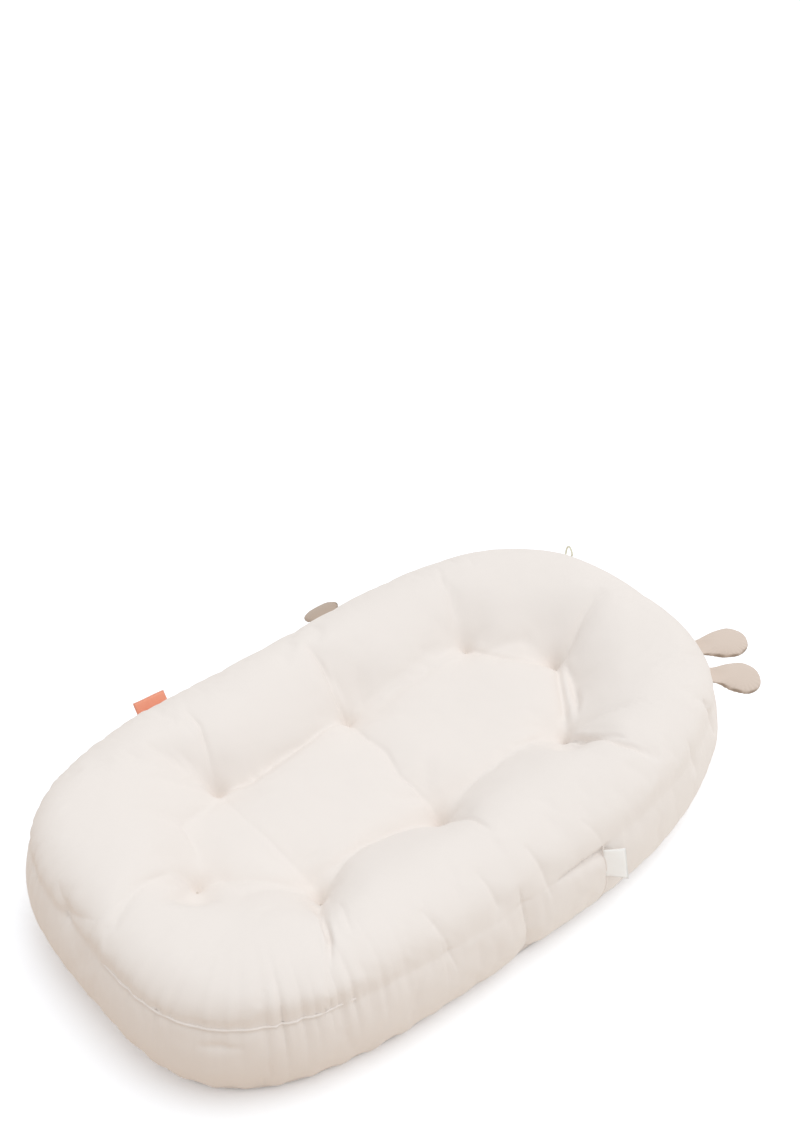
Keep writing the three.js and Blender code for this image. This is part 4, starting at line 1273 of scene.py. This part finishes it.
def ribbon_finish(name, pale, deep):
    """Close woven ribbon: fine ribs and finer threads that cross, and a faint satin sheen."""
    finish = Finish(name)
    cloth = finish.node("ShaderNodeUVMap", uv_map="cloth").outputs["UV"]
    axes = finish.node("ShaderNodeSeparateXYZ", {"Vector": cloth})
    ribs = finish.maths("MULTIPLY", axes.outputs["Y"], 2 * math.pi / rib_pitch)
    threads = finish.maths("MULTIPLY", axes.outputs["X"], 2 * math.pi / ribbon_thread_pitch)
    height = finish.maths("ADD", finish.maths("MULTIPLY", finish.maths("SINE", ribs), rib_share),
                          finish.maths("MULTIPLY", finish.maths("SINE", threads), 1 - rib_share))
    tone = finish.node("ShaderNodeTexNoise", {"Vector": cloth, "Scale": 160.0, "Detail": 2.0})
    colour = finish.mix(tone.outputs["Fac"], linear(*deep), linear(*pale))
    bump = finish.node("ShaderNodeBump", {"Height": height, "Strength": 0.25, "Distance": 0.0002})
    finish.set(Base_Color=colour, Roughness=0.75, Normal=bump.outputs["Normal"], Sheen_Weight=0.15)
    return finish.material


def folded_ribbon(name, width, height, curl, hang, twist):
    """A flat ribbon, laid out to its end, turned over and laid back, then bent and given its thickness."""
    leg_end = height - ribbon_gap / 2 - 2 * ribbon_half
    middle = ribbon_gap / 2 + ribbon_half
    bpy.ops.object.select_all(action="DESELECT")
    bpy.ops.mesh.primitive_plane_add(size=1, location=(0, 0, 0))
    ribbon = bpy.context.object
    ribbon.name = name
    long = leg_end + label_sewn_in
    ribbon.data.transform(Matrix.Translation((leg_end - long / 2, 0, -middle))
                          @ Matrix.Diagonal((long, width, 1, 1)))
    bpy.context.tool_settings.mesh_select_mode = (False, True, False)
    bpy.ops.object.mode_set(mode="EDIT")
    bpy.ops.mesh.select_all(action="DESELECT")
    bpy.ops.object.mode_set(mode="OBJECT")
    for edge in ribbon.data.edges:
        ends = [ribbon.data.vertices[v].co.x for v in edge.vertices]
        edge.select = min(ends) > leg_end - ribbon_gap / 4
    bpy.ops.object.mode_set(mode="EDIT")
    bpy.ops.mesh.spin(steps=fold_steps, angle=math.pi, center=(leg_end, 0, 0), axis=(0, -1, 0))
    bpy.ops.mesh.extrude_region_move(TRANSFORM_OT_translate={"value": (-long, 0, 0)})
    bpy.ops.mesh.select_all(action="SELECT")
    bpy.ops.mesh.remove_doubles(threshold=merge_gap)
    bpy.ops.mesh.normals_make_consistent(inside=False)
    bpy.ops.object.mode_set(mode="OBJECT")
    strip = bmesh.new()
    strip.from_mesh(ribbon.data)
    across = [edge for edge in strip.edges if abs(edge.verts[0].co.y - edge.verts[1].co.y) > width / 2]
    bmesh.ops.subdivide_edges(strip, edges=across, cuts=ribbon_columns, use_grid_fill=True)
    lengthwise = [edge for edge in strip.edges if abs(edge.verts[0].co.x - edge.verts[1].co.x) > long / 2]
    bmesh.ops.subdivide_edges(strip, edges=lengthwise, cuts=ribbon_rows, use_grid_fill=True)
    strip.to_mesh(ribbon.data)
    strip.free()
    co = places(ribbon.data)
    layer = ribbon.data.uv_layers.new(name="cloth")
    for loop in ribbon.data.loops:
        layer.data[loop.index].uv = co[loop.vertex_index][:2]
    share = np.clip(co[:, 0] / height, 0, 1)
    co[:, 2] += curl * share ** 2 * (curl_least + curl_gain * (co[:, 1] / width + 0.5))
    ripple = ribbon_ripple * np.sin(co[:, 1] / width * ripple_rate) * share
    co[:, 2] += ripple + twist * co[:, 1] * share
    co[:, 1] -= hang * share
    set_places(ribbon.data, co)
    alone(ribbon)
    thick = ribbon.modifiers.new("thick", "SOLIDIFY")
    thick.thickness = 2 * ribbon_half
    thick.offset = 0
    bpy.ops.object.modifier_apply(modifier=thick.name)
    bpy.ops.object.shade_smooth()
    return ribbon


def white_label_frame():
    """The white label swings out from the band join, about the join's own upright line."""
    joint = next(j for j in frame["joints"] if j["name"] == "white_label_bend")
    along = Vector(joint["axis"]).normalized()
    level_out = Vector((0, -1, 0))
    level_out = (level_out - along * level_out.dot(along)).normalized()
    swing = math.radians(white_swing)
    out = level_out * math.cos(swing) + along.cross(level_out) * math.sin(swing)
    return Vector(joint["pos_m"]), out, along, out.cross(along)


def tilted(hinge, degrees, slip):
    """The same place and directions, a little further along the seam and tilted in the trim's own plane."""
    place, out, along, up = hinge
    tilt = math.radians(degrees)
    return (place - along * slip, out * math.cos(tilt) - along * math.sin(tilt),
            along * math.cos(tilt) + out * math.sin(tilt), up)


orange_hinge = hinge_frame("orange_label_bend", orange_rise)
labels = {
    "orange_label": {
        "width": 0.041, "height": 0.0195, "curl": 0.0010, "hang": -0.0035, "twist": 0.0,
        "hinge": tilted(orange_hinge, orange_tilt, orange_slip),
        "pale": (1.0, 0.690, 0.575), "deep": (0.975, 0.650, 0.535)},
    "white_label": {
        "width": 0.034, "height": 0.020, "curl": -0.0014, "hang": 0.0045, "twist": -0.18,
        "hinge": white_label_frame(),
        "pale": (1.0, 1.0, 0.992), "deep": (0.995, 0.99, 0.98)},
}
for name, size in labels.items():
    width = size["width"]
    height = size["height"]
    label = folded_ribbon(f"folded_{name}", width, height, size["curl"], size["hang"], size["twist"])
    place, out, along, up = size["hinge"]
    set_in_frame(label, place, out, along, up)
    label.data.materials.append(ribbon_finish(name.replace("_", " "), size["pale"], size["deep"]))
    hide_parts(name)
    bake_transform(label)


# Floor and light: a white studio floor under a broad white sky, with one large soft lamp high over the
# head end and the near side. The floor throws back less light toward the foot, so the foot end and the
# band lie a little in shade. Seen by the camera, the floor and the sky are white.
floor_size = 14
floor_level = -0.0004
floor_seen = (1.21, 1.25, 1.30, 1.0)
floor_at_foot = (0.86, 0.775, 0.69)
floor_at_head = (0.975, 0.95, 0.92)
floor_foot_end = -0.55
floor_head_end = 0.10
soft_sky = 0.69
white_sky = 1.0
lamp_strength = 1.0
lamp_width = math.radians(60)
lamp_from = Vector((0.26, -0.12, 1.0))
bpy.ops.object.select_all(action="DESELECT")
bpy.ops.mesh.primitive_plane_add(size=floor_size, location=(0, 0, floor_level))
floor = bpy.context.object
floor.name = "studio_floor"
floor_finish = Finish("white floor")
rays = floor_finish.node("ShaderNodeLightPath").outputs
seen = floor_finish.maths("ADD", rays["Is Camera Ray"], rays["Is Glossy Ray"])
seen = floor_finish.maths("MINIMUM", floor_finish.maths("ADD", seen, rays["Is Transmission Ray"]), 1.0)
floor_place = floor_finish.node("ShaderNodeTexCoord").outputs["Object"]
floor_x = floor_finish.node("ShaderNodeSeparateXYZ", {"Vector": floor_place}).outputs["X"]
toward_head = floor_finish.node("ShaderNodeMapRange", {
    "Value": floor_x, "From Min": floor_foot_end, "From Max": floor_head_end}).outputs["Result"]
floor_tone = floor_finish.mix(toward_head, linear(*floor_at_foot), linear(*floor_at_head))
floor_colour = floor_finish.mix(seen, floor_tone, floor_seen)
matt = floor_finish.node("ShaderNodeBsdfDiffuse", {"Color": floor_colour})
floor_surface = floor_finish.tree.nodes["Material Output"].inputs["Surface"]
floor_finish.tree.links.new(matt.outputs["BSDF"], floor_surface)
floor_finish.tree.nodes.remove(floor_finish.shader)
floor.data.materials.append(floor_finish.material)
world = bpy.data.worlds.new("studio")
world.use_nodes = True
sky = world.node_tree
sky.nodes["Background"].inputs["Color"].default_value = (1, 1, 1, 1)
sky_rays = sky.nodes.new("ShaderNodeLightPath").outputs
strength = sky_rays["Is Camera Ray"]
for operation, value in (("ADD", sky_rays["Is Glossy Ray"]), ("ADD", sky_rays["Is Transmission Ray"]),
                         ("MULTIPLY", white_sky - soft_sky), ("ADD", soft_sky)):
    step = sky.nodes.new("ShaderNodeMath")
    step.operation = operation
    step.use_clamp = True
    sky.links.new(strength, step.inputs[0])
    if isinstance(value, bpy.types.NodeSocket):
        sky.links.new(value, step.inputs[1])
    else:
        step.inputs[1].default_value = value
    strength = step.outputs[0]
sky.links.new(strength, sky.nodes["Background"].inputs["Strength"])
bpy.context.scene.world = world
lamp_light = bpy.data.lights.new("key", "SUN")
lamp_light.energy = lamp_strength
lamp_light.angle = lamp_width
lamp = bpy.data.objects.new("key", lamp_light)
lamp.rotation_mode = "QUATERNION"
lamp.rotation_quaternion = lamp_from.to_track_quat("Z", "Y")
bpy.context.scene.collection.objects.link(lamp)
bpy.context.scene.view_settings.view_transform = "Standard"
